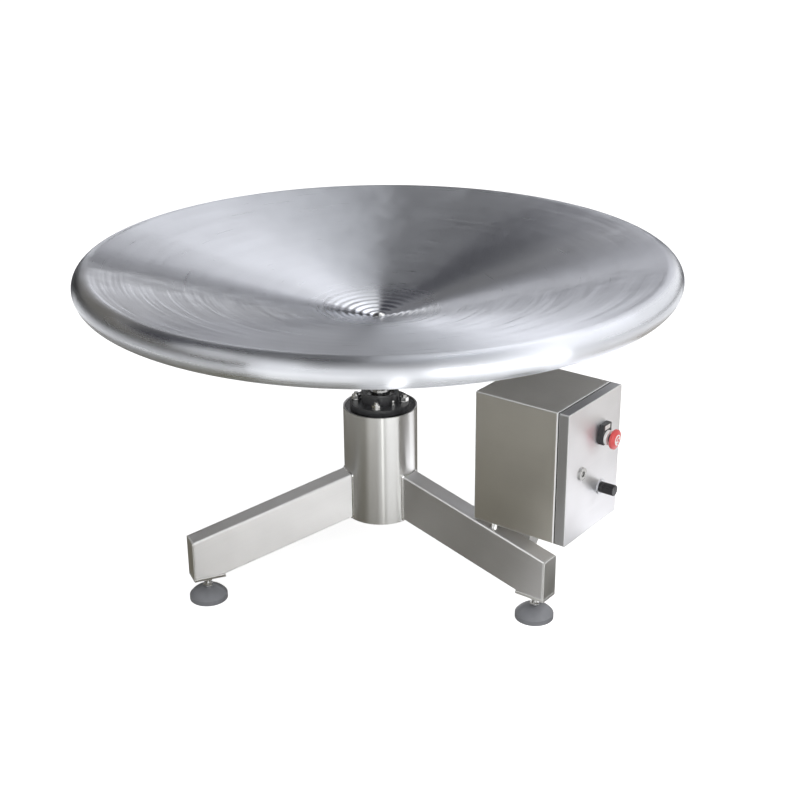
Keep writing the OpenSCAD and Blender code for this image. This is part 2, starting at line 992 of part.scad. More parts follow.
module foot_pad(i) {
    color("gray")
        at_foot(i)
            difference() {
                rotate_extrude()
                    intersection() {
                        translate([0, pad_dome_z])
                            circle(pad_dome_r);
                        square([pad_d / 2, pad_h]);
                    }
                translate([0, 0, pad_h - stud_socket])
                    cylinder(d = stud_d + 2 * seat_fit, h = stud_socket + over);
            }
}

module foot_stud_1() {
    foot_stud(0);
}

module foot_stud_2() {
    foot_stud(1);
}

module foot_stud_3() {
    foot_stud(2);
}

module foot_pad_1() {
    foot_pad(0);
}

module foot_pad_2() {
    foot_pad(1);
}

module foot_pad_3() {
    foot_pad(2);
}

// Bearing unit on the column

module bearing_housing() {
    color("darkslategray")
        difference() {
            rotate_extrude()
                difference() {
                    union() {
                        translate([0, plate_high])
                            square([flange_d / 2, flange_t]);
                        translate([0, plate_high - spigot_h])
                            square([boss_d / 2, spigot_h + boss_h]);
                    }
                    translate([0, plate_high - spigot_h - over])
                        square([outer_land_r, spigot_h + boss_h + 2 * over]);
                    translate([0, bearing_mid - ring_half])
                        square([bearing_d / 2 + seat_fit, boss_h]);
                }
            at_bolts(bolt_pcd)
                translate([0, 0, plate_high - over])
                    cylinder(d = bolt_d + 2 * bolt_gap, h = flange_t + 2 * over);
        }
}

module bearing_outer_ring() {
    shield_r = inner_land_r + pass_gap;
    color("gray")
        rotate_extrude()
            difference() {
                translate([shield_r, bearing_mid - ring_half])
                    square([bearing_d / 2 - shield_r, outer_ring_w]);
                translate([shield_r - over, bearing_mid - ring_half + shield_t])
                    square([outer_land_r - shield_r + over, outer_ring_w - 2 * shield_t]);
                translate([ball_pitch_d / 2, bearing_mid])
                    circle(track_r);
            }
}

module bearing_bolts() {
    bolt_head_h = 0.64 * bolt_d;
    bolt_nut_h = 0.8 * bolt_d;
    tip = 0.5 * bolt_d;
    color("gainsboro")
        at_bolts(bolt_pcd) {
            translate([0, 0, plate_low - bolt_head_h])
                hex(hex_ratio * bolt_d, bolt_head_h);
            translate([0, 0, plate_low - over])
                cylinder(d = bolt_d, h = flange_high + washer_t + bolt_nut_h + tip - plate_low + over);
            translate([0, 0, flange_high])
                pipe(2 * bolt_d, bolt_d + 2 * seat_fit, washer_t);
            translate([0, 0, flange_high + washer_t])
                difference() {
                    hex(nut_ratio * bolt_d, bolt_nut_h);
                    translate([0, 0, -over])
                        cylinder(d = bolt_d + 2 * seat_fit, h = bolt_nut_h + 2 * over);
                }
        }
}

module grease_nipple() {
    hex_d = 9;
    hex_h = 5;
    stem_d = 5;
    stem_h = 5;
    color("gainsboro")
        rotate([0, 0, bolt_turn - 45])
            translate([(boss_d + hex_d) / 2 + over, 0, flange_high]) {
                hex(hex_d, hex_h);
                cylinder(d = stem_d, h = hex_h + stem_h);
                translate([0, 0, hex_h + stem_h])
                    sphere(d = stem_d + over);
            }
}

// Control box

module box_body() {
    color("lightgray")
        at_box()
            difference() {
                union() {
                    difference() {
                        along_box(0, box_d)
                            box_outline(0, box_corner);
                        along_box(box_sheet, box_d - 2 * box_sheet)
                            box_outline(box_sheet, inner_corner);
                        along_box(box_d / 2, box_d)
                            box_outline(lip_in + box_sheet, inner_corner);
                    }
                    along_box(box_d - box_sheet, box_sheet + lip_h)
                        difference() {
                            box_outline(lip_in, box_corner);
                            box_outline(lip_in + box_sheet, inner_corner);
                        }
                    at_panel_screws()
                        cylinder(d = pillar_d, h = panel_space);
                }
                at_panel_screws()
                    translate([0, 0, over])
                        cylinder(d = screw_m6 + 2 * seat_fit, h = panel_space);
                for (i = [0, 1])
                    translate([gland_at + i * gland_pitch, box_w - gland_side, -over])
                        cylinder(d = gland_d + 2 * seat_fit, h = box_sheet + 2 * over);
                translate([-box_reach, box_side, -box_z]) {
                    at_shelf_bolts()
                        translate([0, 0, -over])
                            cylinder(d = mount_bolt_d + 2 * seat_fit, h = box_sheet + 2 * over);
                    at_standoff()
                        translate([0, 0, box_z - over])
                            cylinder(d = mount_bolt_d + 2 * seat_fit, h = box_sheet + 2 * over);
                }
            }
}

// Hinge knuckle with its leaf on the side of the box: the leaf runs along X from the axis
module knuckle(bore_d, leaf) {
    difference() {
        union() {
            cylinder(d = barrel_d, h = knuckle_l);
            translate([min(leaf * barrel_d / 2, 0), -hinge_out, 0])
                cube([barrel_d / 2, hinge_out, knuckle_l]);
            translate([min(leaf * leaf_l, 0), -hinge_out, 0])
                cube([leaf_l, leaf_t, knuckle_l]);
        }
        translate([0, 0, -over])
            cylinder(d = bore_d, h = knuckle_l + 2 * over);
    }
}

module at_hinges() {
    at_box()
        for (z = hinge_levels)
            translate([hinge_x, hinge_y, z])
                children();
}

module box_hinge_knuckles() {
    color("gray")
        at_hinges()
            knuckle(hinge_pin_d + 2 * seat_fit, -1);
}

module door_hinge_knuckles() {
    color("gray")
        at_hinges()
            translate([0, 0, knuckle_l + pass_gap])
                knuckle(hinge_pin_d + 2 * run_fit, 1);
}

module hinge_pins() {
    pin_l = 2 * knuckle_l + 2 * pass_gap;
    color("gainsboro")
        at_hinges() {
            cylinder(d = hinge_pin_d, h = pin_l + over);
            translate([0, 0, pin_l])
                cylinder(d = pin_head_d, h = pin_head_h);
        }
}

module mounting_panel() {
    color("gainsboro")
        at_box()
            difference() {
                translate([panel_high - panel_t, (box_w - panel_w) / 2, (box_h - panel_h) / 2])
                    cube([panel_t, panel_w, panel_h]);
                at_panel_screws()
                    cylinder(d = screw_m6 + 2 * bolt_gap, h = panel_high);
            }
}

module din_rail() {
    fold = rail_w / 7;
    color("gainsboro")
        at_box()
            translate([panel_high, rail_y, rail_up])
                rotate([-90, 0, 0])
                    linear_extrude(rail_l)
                        difference() {
                            union() {
                                translate([0, fold - rail_w / 2])
                                    square([rail_d, rail_w - 2 * fold]);
                                translate([rail_d - rail_t, -rail_w / 2])
                                    square([rail_t, rail_w]);
                            }
                            translate([rail_t, fold + rail_t - rail_w / 2])
                                square([rail_d, rail_w - 2 * fold - 2 * rail_t]);
                        }
}

module power_relay() {
    foot_d = relay_d / 3;
    waist = relay_h / 5;
    color("dimgray")
        at_box()
            translate([rail_face, rail_y, rail_up - relay_h / 2]) {
                cube([foot_d, relay_w, relay_h]);
                translate([0, 0, waist])
                    cube([relay_d, relay_w, relay_h - 2 * waist]);
            }
}

module terminal_block() {
    slope = terminal_h / 4;
    pin_d = 4;
    split = 0.4;
    color("tan")
        at_box()
            for (i = [0 : terminal_count - 1])
                translate([rail_face, rail_y + rail_l - (i + 1) * terminal_w, rail_up])
                    rotate([-90, 0, 0])
                        linear_extrude(terminal_w - split)
                            difference() {
                                polygon([
                                    [0, -terminal_h / 2],
                                    [terminal_d / 2, -terminal_h / 2],
                                    [terminal_d, slope - terminal_h / 2],
                                    [terminal_d, terminal_h / 2 - slope],
                                    [terminal_d / 2, terminal_h / 2],
                                    [0, terminal_h / 2]
                                ]);
                                for (s = [-1, 1])
                                    translate([terminal_d / 2, s * slope])
                                        circle(d = pin_d);
                            }
}

module speed_controller() {
    fin_pitch = controller_w / fin_count;
    body_d = controller_d - fin_d;
    color("darkslategray")
        at_box()
            translate([panel_high, (box_w - controller_w) / 2, controller_up]) {
                translate([fin_d, 0, 0])
                    cube([body_d, controller_w, controller_h]);
                for (i = [0 : fin_count - 1])
                    translate([0, i * fin_pitch, 0])
                        cube([fin_d + over, fin_pitch / 2, controller_h]);
            }
}

// Cable gland: its hexagon hangs under Z = 0 and its thread and nut stand above a wall
module gland(wall) {
    hex_d = hex_ratio * gland_d * 0.8;
    difference() {
        union() {
            translate([0, 0, -gland_hex_h])
                hex(hex_d, gland_hex_h);
            translate([0, 0, -gland_l])
                cylinder(d = 1.1 * gland_d, h = gland_l);
            cylinder(d = gland_d, h = wall + gland_nut_h + over);
            translate([0, 0, wall])
                hex(hex_d, gland_nut_h);
        }
        translate([0, 0, -gland_l - over])
            cylinder(d = gland_bore_d, h = gland_l + wall + gland_nut_h + 3 * over);
    }
}

module cable_glands() {
    color("dimgray") {
        at_box_glands()
            gland(box_sheet);
        at_column_gland()
            gland(cover_t);
    }
}

module box_bracket() {
    gusset_t = bracket_t;
    inner = box_reach + bracket_at;
    plate_foot = leg_top(inner + bracket_l) - bracket_lap;
    color("silver")
        difference() {
            union() {
                translate([inner, leg_w / 2, box_z - bracket_t])
                    cube([bracket_l, bracket_reach, bracket_t]);
                translate([inner, leg_w / 2, plate_foot])
                    cube([bracket_l, bracket_t, box_z - plate_foot]);
                for (x = [0, bracket_l - gusset_t])
                    translate([inner + x, leg_w / 2, box_z])
                        rotate([90, 0, 90])
                            linear_extrude(gusset_t)
                                polygon([
                                    [0, 0],
                                    [bracket_reach * 0.6, 0],
                                    [bracket_reach * 0.6, -2 * bracket_t],
                                    [2 * bracket_t, plate_foot - box_z],
                                    [0, plate_foot - box_z]
                                ]);
            }
            at_shelf_bolts()
                translate([0, 0, -bracket_t - over])
                    cylinder(d = mount_bolt_d + 2 * bolt_gap, h = bracket_t + 2 * over);
            at_leg_bolts()
                translate([0, 0, -over])
                    cylinder(d = mount_bolt_d + 2 * bolt_gap, h = bracket_t + 2 * over);
        }
}

// Hexagon bolt: its head stands on Z = 0 and its thread runs down
module hex_bolt(l) {
    hex(hex_ratio * mount_bolt_d, head_h);
    translate([0, 0, -l])
        cylinder(d = mount_bolt_d, h = l + over);
}

module box_bolts() {
    standoff_low = leg_top(box_reach + standoff_at) - 4 * leg_wall;
    color("gainsboro") {
        at_shelf_bolts() {
            translate([0, 0, box_sheet])
                hex_bolt(box_sheet + bracket_t + mount_nut_h + over);
            translate([0, 0, -bracket_t - mount_nut_h])
                difference() {
                    hex(hex_ratio * mount_bolt_d, mount_nut_h);
                    translate([0, 0, -over])
                        cylinder(d = mount_bolt_d + 2 * seat_fit, h = mount_nut_h + 2 * over);
                }
        }
        at_leg_bolts()
            translate([0, 0, bracket_t])
                hex_bolt(bracket_t + leg_wall + over);
        at_standoff()
            translate([0, 0, box_z + box_sheet])
                hex_bolt(box_z + box_sheet - standoff_low);
    }
}

module box_standoff() {
    color("gainsboro")
        difference() {
            at_standoff()
                translate([0, 0, leg_top(box_reach + standoff_at) - standoff_d])
                    pipe(
                        standoff_d,
                        mount_bolt_d + 2 * seat_fit,
                        box_z - leg_top(box_reach + standoff_at) + standoff_d
                    );
            leg_bar(leg_w, leg_height, leg_corner);
        }
}

// Door

module box_door() {
    color("lightgray")
        difference() {
            at_box() {
                difference() {
                    along_box(box_d + door_gap, door_d)
                        box_outline(0, box_corner);
                    along_box(box_d, door_gap + door_d - box_sheet)
                        box_outline(box_sheet, inner_corner);
                }
            }
            on_door(lock_across, lock_up)
                translate([0, 0, -2 * box_sheet])
                    cylinder(d = lock_d + 2 * seat_fit, h = 3 * box_sheet);
            on_door(estop_across, estop_up)
                translate([0, 0, -2 * box_sheet])
                    cylinder(d = estop_body_d + 2 * seat_fit, h = 3 * box_sheet);
            on_door(knob_across, knob_up)
                translate([0, 0, -2 * box_sheet])
                    cylinder(d = bush_d + 2 * seat_fit, h = 3 * box_sheet);
        }
}

module door_gasket() {
    inset = lip_mid - gasket_w / 2;
    color("black")
        at_box()
            along_box(door_front - box_sheet - gasket_t, gasket_t)
                difference() {
                    box_outline(inset, box_corner);
                    box_outline(inset + gasket_w, inner_corner);
                }
}

module lock_barrel() {
    color("gainsboro")
        on_door(lock_across, lock_up)
            difference() {
                union() {
                    cylinder(d = lock_collar_d, h = lock_collar_h);
                    translate([0, 0, lock_back])
                        cylinder(d = lock_d, h = -lock_back);
                }
                translate([0, 0, lock_back - over])
                    cylinder(d = core_d + 2 * run_fit, h = lock_collar_h - lock_back + 2 * over);
            }
}

module lock_core() {
    color("gray")
        on_door(lock_across, lock_up) {
            difference() {
                translate([0, 0, cam_front])
                    cylinder(d = core_d, h = lock_collar_h - cam_front);
                translate([0, 0, lock_collar_h - lock_recess])
                    cylinder(d = lock_recess_d, h = lock_recess + over);
            }
            translate([0, 0, lock_collar_h - lock_recess - over])
                cylinder(d = lock_key_d, h = lock_recess, $fn = 3);
            translate([-core_square / 2, -core_square / 2, core_back])
                cube([core_square, core_square, cam_front - core_back + over]);
        }
}

module lock_cam() {
    hole = core_square + 2 * seat_fit;
    color("gainsboro")
        on_door(lock_across, lock_up)
            translate([0, 0, cam_front - cam_t])
                linear_extrude(cam_t)
                    difference() {
                        union() {
                            circle(d = cam_w);
                            translate([0, -cam_w / 2])
                                square([cam_l - cam_w / 2, cam_w]);
                            translate([cam_l - cam_w / 2, 0])
                                circle(d = cam_w);
                        }
                        square([hole, hole], center = true);
                    }
}

module legend_holder() {
    color("black")
        on_door(estop_across, estop_up)
            difference() {
                linear_extrude(legend_t)
                    difference() {
                        translate([-legend_rise, 0])
                            round_rect(legend_h, legend_w, legend_corner);
                        circle(d = estop_body_d + 2 * seat_fit);
                    }
                translate([-legend_rise - insert_rise - insert_h / 2, -insert_w / 2, legend_t - insert_t])
                    cube([insert_h, insert_w, 2 * insert_t]);
            }
}

module legend_insert() {
    color("white")
        on_door(estop_across, estop_up)
            translate([
                -legend_rise - insert_rise - insert_h / 2 + seat_fit,
                -insert_w / 2 + seat_fit,
                legend_t - insert_t
            ])
                cube([insert_h - 2 * seat_fit, insert_w - 2 * seat_fit, insert_t]);
}

module estop_collar() {
    back = box_sheet + estop_seat;
    color("whitesmoke")
        on_door(estop_across, estop_up)
            difference() {
                union() {
                    translate([0, 0, -back])
                        cylinder(d = estop_body_d, h = back + collar_high);
                    translate([0, 0, legend_t])
                        cylinder(d = estop_collar_d, h = estop_collar_h);
                }
                translate([0, 0, -back - over])
                    cylinder(d = plunger_d + 2 * run_fit, h = back + collar_high + 2 * over);
            }
}

module estop_contact_block() {
    color("black")
        on_door(estop_across, estop_up)
            difference() {
                translate([-contact_h / 2, -contact_w / 2, -box_sheet - contact_d])
                    cube([contact_h, contact_w, contact_d]);
                translate([0, 0, -box_sheet - estop_seat])
                    cylinder(d = estop_body_d + 2 * seat_fit, h = estop_seat + over);
                translate([0, 0, -box_sheet - plunger_back - 2 * estop_travel])
                    cylinder(d = plunger_d + 2 * run_fit, h = plunger_back + 2 * estop_travel);
            }
}

module estop_plunger() {
    back = box_sheet + plunger_back;
    color("gray")
        on_door(estop_across, estop_up) {
            translate([0, 0, -back])
                cylinder(d = plunger_d, h = back + head_low);
            cylinder(d = estop_spigot_d, h = head_low + estop_spigot_h);
        }
}

module estop_head() {
    head_r = estop_head_d / 2;
    edge = estop_head_h * 0.6;
    dome = estop_head_h - edge;
    dome_r = (head_r * head_r + dome * dome) / (2 * dome);
    skirt = estop_head_h / 4;
    color("red")
        on_door(estop_across, estop_up)
            translate([0, 0, head_low + run_fit])
                difference() {
                    rotate_extrude()
                        intersection() {
                            translate([0, estop_head_h - dome_r])
                                circle(dome_r);
                            union() {
                                translate([0, skirt])
                                    square([head_r, estop_head_h]);
                                square([estop_neck_d / 2, estop_head_h]);
                            }
                        }
                    translate([0, 0, -over])
                        cylinder(d = estop_spigot_d + 2 * run_fit, h = estop_spigot_h + over);
                }
}

module knob_dial() {
    color("silver")
        on_door(knob_across, knob_up)
            pipe(dial_d, bush_d + 2 * seat_fit, dial_t);
}

module potentiometer() {
    color("dimgray")
        on_door(knob_across, knob_up)
            difference() {
                union() {
                    translate([0, 0, -box_sheet - pot_l])
                        cylinder(d = pot_d, h = pot_l);
                    translate([0, 0, -box_sheet - over])
                        cylinder(d = bush_d, h = box_sheet + bush_high + over);
                }
                translate([0, 0, over - box_sheet - pot_l])
                    cylinder(d = spindle_d + 2 * run_fit, h = pot_l + box_sheet + bush_high);
            }
}

module speed_knob() {
    spindle_back = box_sheet + pot_l - 2 * over;
    recess_high = bush_high + over;
    color("black")
        on_door(knob_across, knob_up) {
            difference() {
                translate([0, 0, knob_low])
                    cylinder(d = knob_d, h = knob_h - knob_low);
                translate([0, 0, knob_low - over])
                    cylinder(d = knob_recess_d, h = recess_high - knob_low + over);
                for (i = [0 : knob_flutes - 1])
                    rotate([0, 0, 360 * i / knob_flutes])
                        translate([knob_d / 2, 0, recess_high])
                            cylinder(d = flute_d, h = knob_h);
                translate([-knob_d, -pointer_w / 2, knob_h - pointer_w / 2])
                    cube([knob_d, pointer_w, pointer_w]);
            }
            translate([0, 0, -spindle_back])
                cylinder(d = spindle_d, h = spindle_back + recess_high + over);
        }
}

dish();
dish_hub();
centre_screw();
drive_shaft();
bearing_inner_ring();
coupling_upper_hub();
coupling_spider();
coupling_lower_hub();
motor_output_shaft();
bearing_balls();
column_tube();
column_top_plate();
motor_plate();
column_bottom_cover();
control_leg();
rear_leg();
left_leg();
leg_end_caps();
foot_plates();
foot_lock_nuts();
bearing_housing();
bearing_outer_ring();
bearing_bolts();
grease_nipple();
gearbox();
gear_motor();
socket_screws();
box_body();
box_hinge_knuckles();
hinge_pins();
mounting_panel();
din_rail();
power_relay();
terminal_block();
speed_controller();
cable_glands();
box_bracket();
box_bolts();
box_standoff();
box_door();
door_gasket();
door_hinge_knuckles();
lock_barrel();
legend_holder();
legend_insert();
estop_collar();
estop_contact_block();
knob_dial();
potentiometer();
lock_core();
lock_cam();
estop_plunger();
estop_head();
speed_knob();
foot_stud_1();
foot_stud_2();
foot_stud_3();
foot_pad_1();
foot_pad_2();
foot_pad_3();
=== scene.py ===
"""Rotary accumulation table: finishes, fine parts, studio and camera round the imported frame."""

import json
import math

import bmesh
import bpy
from mathutils import Euler, Matrix, Vector

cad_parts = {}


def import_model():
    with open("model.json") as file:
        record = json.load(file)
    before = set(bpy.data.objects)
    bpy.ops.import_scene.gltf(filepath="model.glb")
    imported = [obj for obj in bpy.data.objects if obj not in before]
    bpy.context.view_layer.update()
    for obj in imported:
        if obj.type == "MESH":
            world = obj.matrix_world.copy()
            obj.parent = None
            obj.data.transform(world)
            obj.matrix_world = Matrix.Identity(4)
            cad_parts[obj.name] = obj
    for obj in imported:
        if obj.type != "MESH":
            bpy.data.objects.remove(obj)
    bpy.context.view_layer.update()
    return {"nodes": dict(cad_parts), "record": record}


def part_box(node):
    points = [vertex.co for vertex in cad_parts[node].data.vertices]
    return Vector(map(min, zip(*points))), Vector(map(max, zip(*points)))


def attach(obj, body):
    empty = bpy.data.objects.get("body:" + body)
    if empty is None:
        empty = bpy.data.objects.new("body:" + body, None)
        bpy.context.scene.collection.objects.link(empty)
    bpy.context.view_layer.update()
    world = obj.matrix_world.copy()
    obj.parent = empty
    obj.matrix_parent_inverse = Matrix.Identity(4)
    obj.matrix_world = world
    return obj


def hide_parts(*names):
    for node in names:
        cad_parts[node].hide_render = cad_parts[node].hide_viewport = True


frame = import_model()
nodes = frame["nodes"]
node_slot = {part["node"]: part["material_slot"] for part in frame["record"]["subparts"]}
MM = 0.001

# Dish: the same arcs as the solid's, so the two lie on each other
DISH_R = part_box("dish")[1].x
DISH_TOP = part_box("dish")[1].z
DISH_DEPTH = 130 * MM
DISH_SAG = 5 * MM
DISH_SHEET = 2 * MM
RIM_R = 28 * MM
RIM_ROLL = math.radians(235)
SCREW_HOLE_R = 6.3 * MM
RIPPLE_FROM = 15 * MM
RIPPLE_TO = 170 * MM
RIPPLE_STEP = 15 * MM
RIPPLE_HEIGHT = 0.30 * MM
WAVE_STEP = 47 * MM
WAVE_HEIGHT = 0.10 * MM
DISH_AROUND = 288
DISH_STEPS = 260
DISH_LOWER_EVERY = 8
RIM_STEPS = 60

# Legs: their slope, and each one's turn about the column in degrees
LEG_SLOPE = math.radians(14.5)
LEG_TURN = {"control_leg": 0, "rear_leg": 120, "left_leg": 240}

# Finishes: features per metre of each noise, and the range that a noise mostly stays in
NOISE_RANGE = (0.3, 0.7)
BRUSH_GRAIN = (9, 700, 700)
SHEET_CLOUDS = (7, 7, 7)
TURNED_CLOUDS = (5, 5, 5)
TURNED_HOLLOWS = (9, 9, 9)
METAL_CLOUDS = (30, 30, 30)
PLASTIC_CLOUDS = (25, 25, 25)
RINGS_PER_METRE = 160.0
STREAKS_AROUND = 2.5
QUARTER_TURN = 0.25
GRAIN_DEPTH = 0.004 * MM
OFF_SQUARE = math.radians(0.5)

# Bands where the dish is smoother: two radii, and the share of the roughness at each
DISH_CENTRE_BAND = (30 * MM, 170 * MM, 0.4, 1.0)
DISH_RIM_BAND = (DISH_R - 50 * MM, DISH_R - 25 * MM, 1.0, 0.9)

# Sockets of a node that mixes colours
MIX_FACTOR = 0
MIX_FIRST = 6
MIX_SECOND = 7
MIX_RESULT = 2

# Edges of sheet steel: each turn is two cosines, between which the look goes from an edge's to a face's.
# The edges get a painted highlight, a pale colour that is not metallic, standing in for the light that
# rolled folds catch
FOLD_R = 3 * MM
EDGE_TURN = (0.85, 0.995)
CORNER_TURN = (0.80, 0.95)
SIDE_TURN = (0.20, 0.45)
EDGE_SAMPLES = 6
EDGE_POLISH = 0.4
EDGE_HIGHLIGHT_METALLIC = 0.0
EDGE_HIGHLIGHT_COLOUR = (0.94, 0.94, 0.93)

# Mouth of the box: a painted highlight along its edge, then painted shade for the dark gap before the door
PAINTED_GAP_SHADE = 0.08
GAP_BLUR = 0.5 * MM
BOX_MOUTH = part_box("box_door")[0].x - 2.6 * MM
MOUTH_HIGHLIGHT_WIDTH = 3.5 * MM

# Fine parts
SHARP_ANGLE = math.radians(35)
STUD_R = 6 * MM
STUD_PITCH = 1.75 * MM
STUD_THREAD = 0.9 * MM
STUD_AROUND = 24
THREAD_STEPS = 6
STUD_HEX_R = 10.5 * MM
STUD_HEX_LOW = 28 * MM
STUD_HEX_HIGH = 35 * MM
STUD_BREAK = 0.8 * MM
COLUMN_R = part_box("column_tube")[1].x
LEG_HEIGHT = 97 * MM
WELD_R = 2.4 * MM
WELD_CORNER = 5.5 * MM
WELD_STEP = 1.2 * MM
WELD_RIPPLE = 4 * MM
WELD_SCALLOP = 0.18
WELD_CORNER_STEPS = 8
WELD_AROUND = 8
HEAD_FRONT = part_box("estop_head")[1].x
HEAD_CENTRE = sum(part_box("estop_head"), Vector()) / 2
HEAD_DOME_R = 41 * MM
HEAD_RING_IN = 3.2 * MM
HEAD_RING_OUT = 10.8 * MM
HEAD_LIFT = 0.25 * MM
HEAD_AROUND = 64
ARROW_HALF = 1.1 * MM
ARROW_SWEEP = math.radians(135)
ARROW_SHAFT = 0.6
ARROW_WIDEN = 2.2
ARROW_TIP = 0.05 * MM
ARROW_STEPS = 24

# Camera: measured from the photograph, with the image taken as 800 x 800
CAMERA_AZIMUTH = math.radians(38.22)
CAMERA_DISTANCE = 2.6803
CAMERA_HEIGHT = 1.4847
CAMERA_YAW = math.radians(0.88)
CAMERA_PITCH = math.radians(22.46)
CAMERA_ROLL = math.radians(-0.43)
CAMERA_LENS = 63.0
CAMERA_SENSOR = 36.0
CAMERA_REACH = 200

# Studio
WORLD_FILL = 0.5
FLOOR_SIZE = 60.0
FLOOR_SHADE = 0.88
FLOOR_ROUGHNESS = 0.9
FLOOR_GLOW = 0.68
LIGHT_AIM = Vector((0, 0, 0.45))
CARD_DISTANCE = 6.0
CARD_CENTRE = 0.4
CARD_STEPS = 32
SKY_LAYER = 20 * MM
FLOOR_LAYER = 0.5 * MM


class Finish:
    """One material: a Principled shader, and short calls that add nodes to its tree."""

    def __init__(self, name, colour, roughness, metallic=0.0, **sockets):
        self.material = bpy.data.materials.new(name)
        self.material.use_nodes = True
        self.tree = self.material.node_tree
        self.shader = self.tree.nodes["Principled BSDF"]
        self.colour = colour
        self.roughness = roughness
        self.put(self.shader, {"Base Color": (*colour, 1), "Roughness": roughness, "Metallic": metallic})
        self.put(self.shader, sockets)
        self.place = self.node("ShaderNodeTexCoord").outputs["Object"]

    def put(self, node, sockets):
        """Constants on a node's sockets."""
        for key, value in sockets.items():
            node.inputs[key].default_value = value

    def node(self, kind, sockets=None, **settings):
        """A new node with its constants and settings."""
        made = self.tree.nodes.new(kind)
        for key, value in settings.items():
            setattr(made, key, value)
        self.put(made, sockets or {})
        return made

    def join(self, source, target):
        """A link from one socket to another."""
        self.tree.links.new(source, target)

    def noise(self, per_metre, turn=(0, 0, 0), detail=4.0):
        """Noise in the piece's own place, with so many features per metre along each axis of the turned
        frame."""
        stretch = [1 / count for count in per_metre]
        mapping = self.node("ShaderNodeMapping", vector_type="TEXTURE")
        self.put(mapping, {"Scale": stretch, "Rotation": turn})
        self.join(self.place, mapping.inputs["Vector"])
        noise = self.node("ShaderNodeTexNoise", {"Scale": 1.0, "Detail": detail})
        self.join(mapping.outputs["Vector"], noise.inputs["Vector"])
        return noise.outputs["Fac"]

    def spread(self, factor, low, high):
        """A noise's usual range spread over another."""
        start, end = NOISE_RANGE
        ramp = self.node("ShaderNodeMapRange")
        self.put(ramp, {"From Min": start, "From Max": end, "To Min": low, "To Max": high})
        self.join(factor, ramp.inputs["Value"])
        return ramp.outputs["Result"]

    def vary_colour(self, factor, share, flat=None, shade=None):
        """Colour between a darker and a lighter shade of itself, with a painted highlight, pale and not
        metallic, where the flat factor is 0, and multiplied by a shade, which is painted shade where given."""
        mix = self.node("ShaderNodeMix", data_type="RGBA")
        mix.inputs[MIX_FIRST].default_value = (*(c * (1 - share) for c in self.colour), 1)
        mix.inputs[MIX_SECOND].default_value = (*(min(1, c * (1 + share)) for c in self.colour), 1)
        self.join(self.spread(factor, 0, 1), mix.inputs[MIX_FACTOR])
        colour = mix.outputs[MIX_RESULT]
        if flat is not None:
            # Painted highlight: edges turn pale and not metallic, standing in for the light that rolled
            # folds catch
            painted_highlight = self.node("ShaderNodeMix", data_type="RGBA")
            painted_highlight.inputs[MIX_FIRST].default_value = (*EDGE_HIGHLIGHT_COLOUR, 1)
            self.join(flat, painted_highlight.inputs[MIX_FACTOR])
            self.join(colour, painted_highlight.inputs[MIX_SECOND])
            self.join(self.step(flat, 0, 1, EDGE_HIGHLIGHT_METALLIC, 1), self.shader.inputs["Metallic"])
            colour = painted_highlight.outputs[MIX_RESULT]
        # Painted shade: the colour is multiplied by the given shade
        if shade is not None:
            shaded = self.node("ShaderNodeVectorMath", operation="SCALE")
            self.join(colour, shaded.inputs[0])
            self.join(shade, shaded.inputs["Scale"])
            colour = shaded.outputs["Vector"]
        self.join(colour, self.shader.inputs["Base Color"])

    def vary_roughness(self, factor, share, scale=()):
        """Roughness that varies by a share, and is multiplied by each of the given values."""
        value = self.spread(factor, self.roughness * (1 - share), self.roughness * (1 + share))
        for other in scale:
            value = self.math("MULTIPLY", value, other)
        self.join(value, self.shader.inputs["Roughness"])

    def step(self, value, start, end, low, high):
        """A smooth change from low to high as the value goes from start to end."""
        ramp = self.node("ShaderNodeMapRange", interpolation_type="SMOOTHSTEP")
        self.put(ramp, {"From Min": start, "From Max": end, "To Min": low, "To Max": high})
        self.join(value, ramp.inputs["Value"])
        return ramp.outputs["Result"]

    def math(self, operation, first, second=None):
        """A sum, product or other function of one or two values."""
        made = self.node("ShaderNodeMath", operation=operation)
        self.join(first, made.inputs[0])
        if second is not None:
            self.join(second, made.inputs[1])
        return made.outputs[0]

    def dot(self, first, second):
        """Dot product of a vector with another, or with a constant one."""
        made = self.node("ShaderNodeVectorMath", operation="DOT_PRODUCT")
        self.join(first, made.inputs[0])
        if isinstance(second, Vector):
            made.inputs[1].default_value = second
        else:
            self.join(second, made.inputs[1])
        return made.outputs["Value"]

    def component(self, vector, axis):
        """One component of a vector."""
        split = self.node("ShaderNodeSeparateXYZ")
        self.join(vector, split.inputs["Vector"])
        return split.outputs[axis]

    def face_normal(self):
        """The mesh's own normal, in the world's frame."""
        return self.node("ShaderNodeNewGeometry").outputs["True Normal"]

    def own_normal(self):
        """The mesh's own normal, in the piece's frame."""
        return self.turned(self.face_normal(), "NORMAL", "WORLD", "OBJECT")

    def turned(self, vector, kind, source, target):
        """A vector from one space in another."""
        made = self.node("ShaderNodeVectorTransform", vector_type=kind)
        made.convert_from = source
        made.convert_to = target
        if isinstance(vector, Vector):
            made.inputs["Vector"].default_value = vector
        else:
            self.join(vector, made.inputs["Vector"])
        return made.outputs["Vector"]

    def round_edges(self, radius, axes):
        """A normal that rounds sharp edges off, and a factor that goes from 1 on flat faces to 0 along the
        edges, and on rolled corners between faces square to the axes, where those are given."""
        rounded = self.node("ShaderNodeBevel", {"Radius": radius}, samples=EDGE_SAMPLES).outputs["Normal"]
        flat = self.step(self.dot(rounded, self.face_normal()), *EDGE_TURN, 0, 1)
        square = None
        for axis in axes:
            size = self.math("ABSOLUTE", self.dot(self.own_normal(), axis))
            square = size if square is None else self.math("MAXIMUM", square, size)
        if square is not None:
            flat = self.math("MINIMUM", flat, self.step(square, *CORNER_TURN, 0, 1))
        return rounded, flat

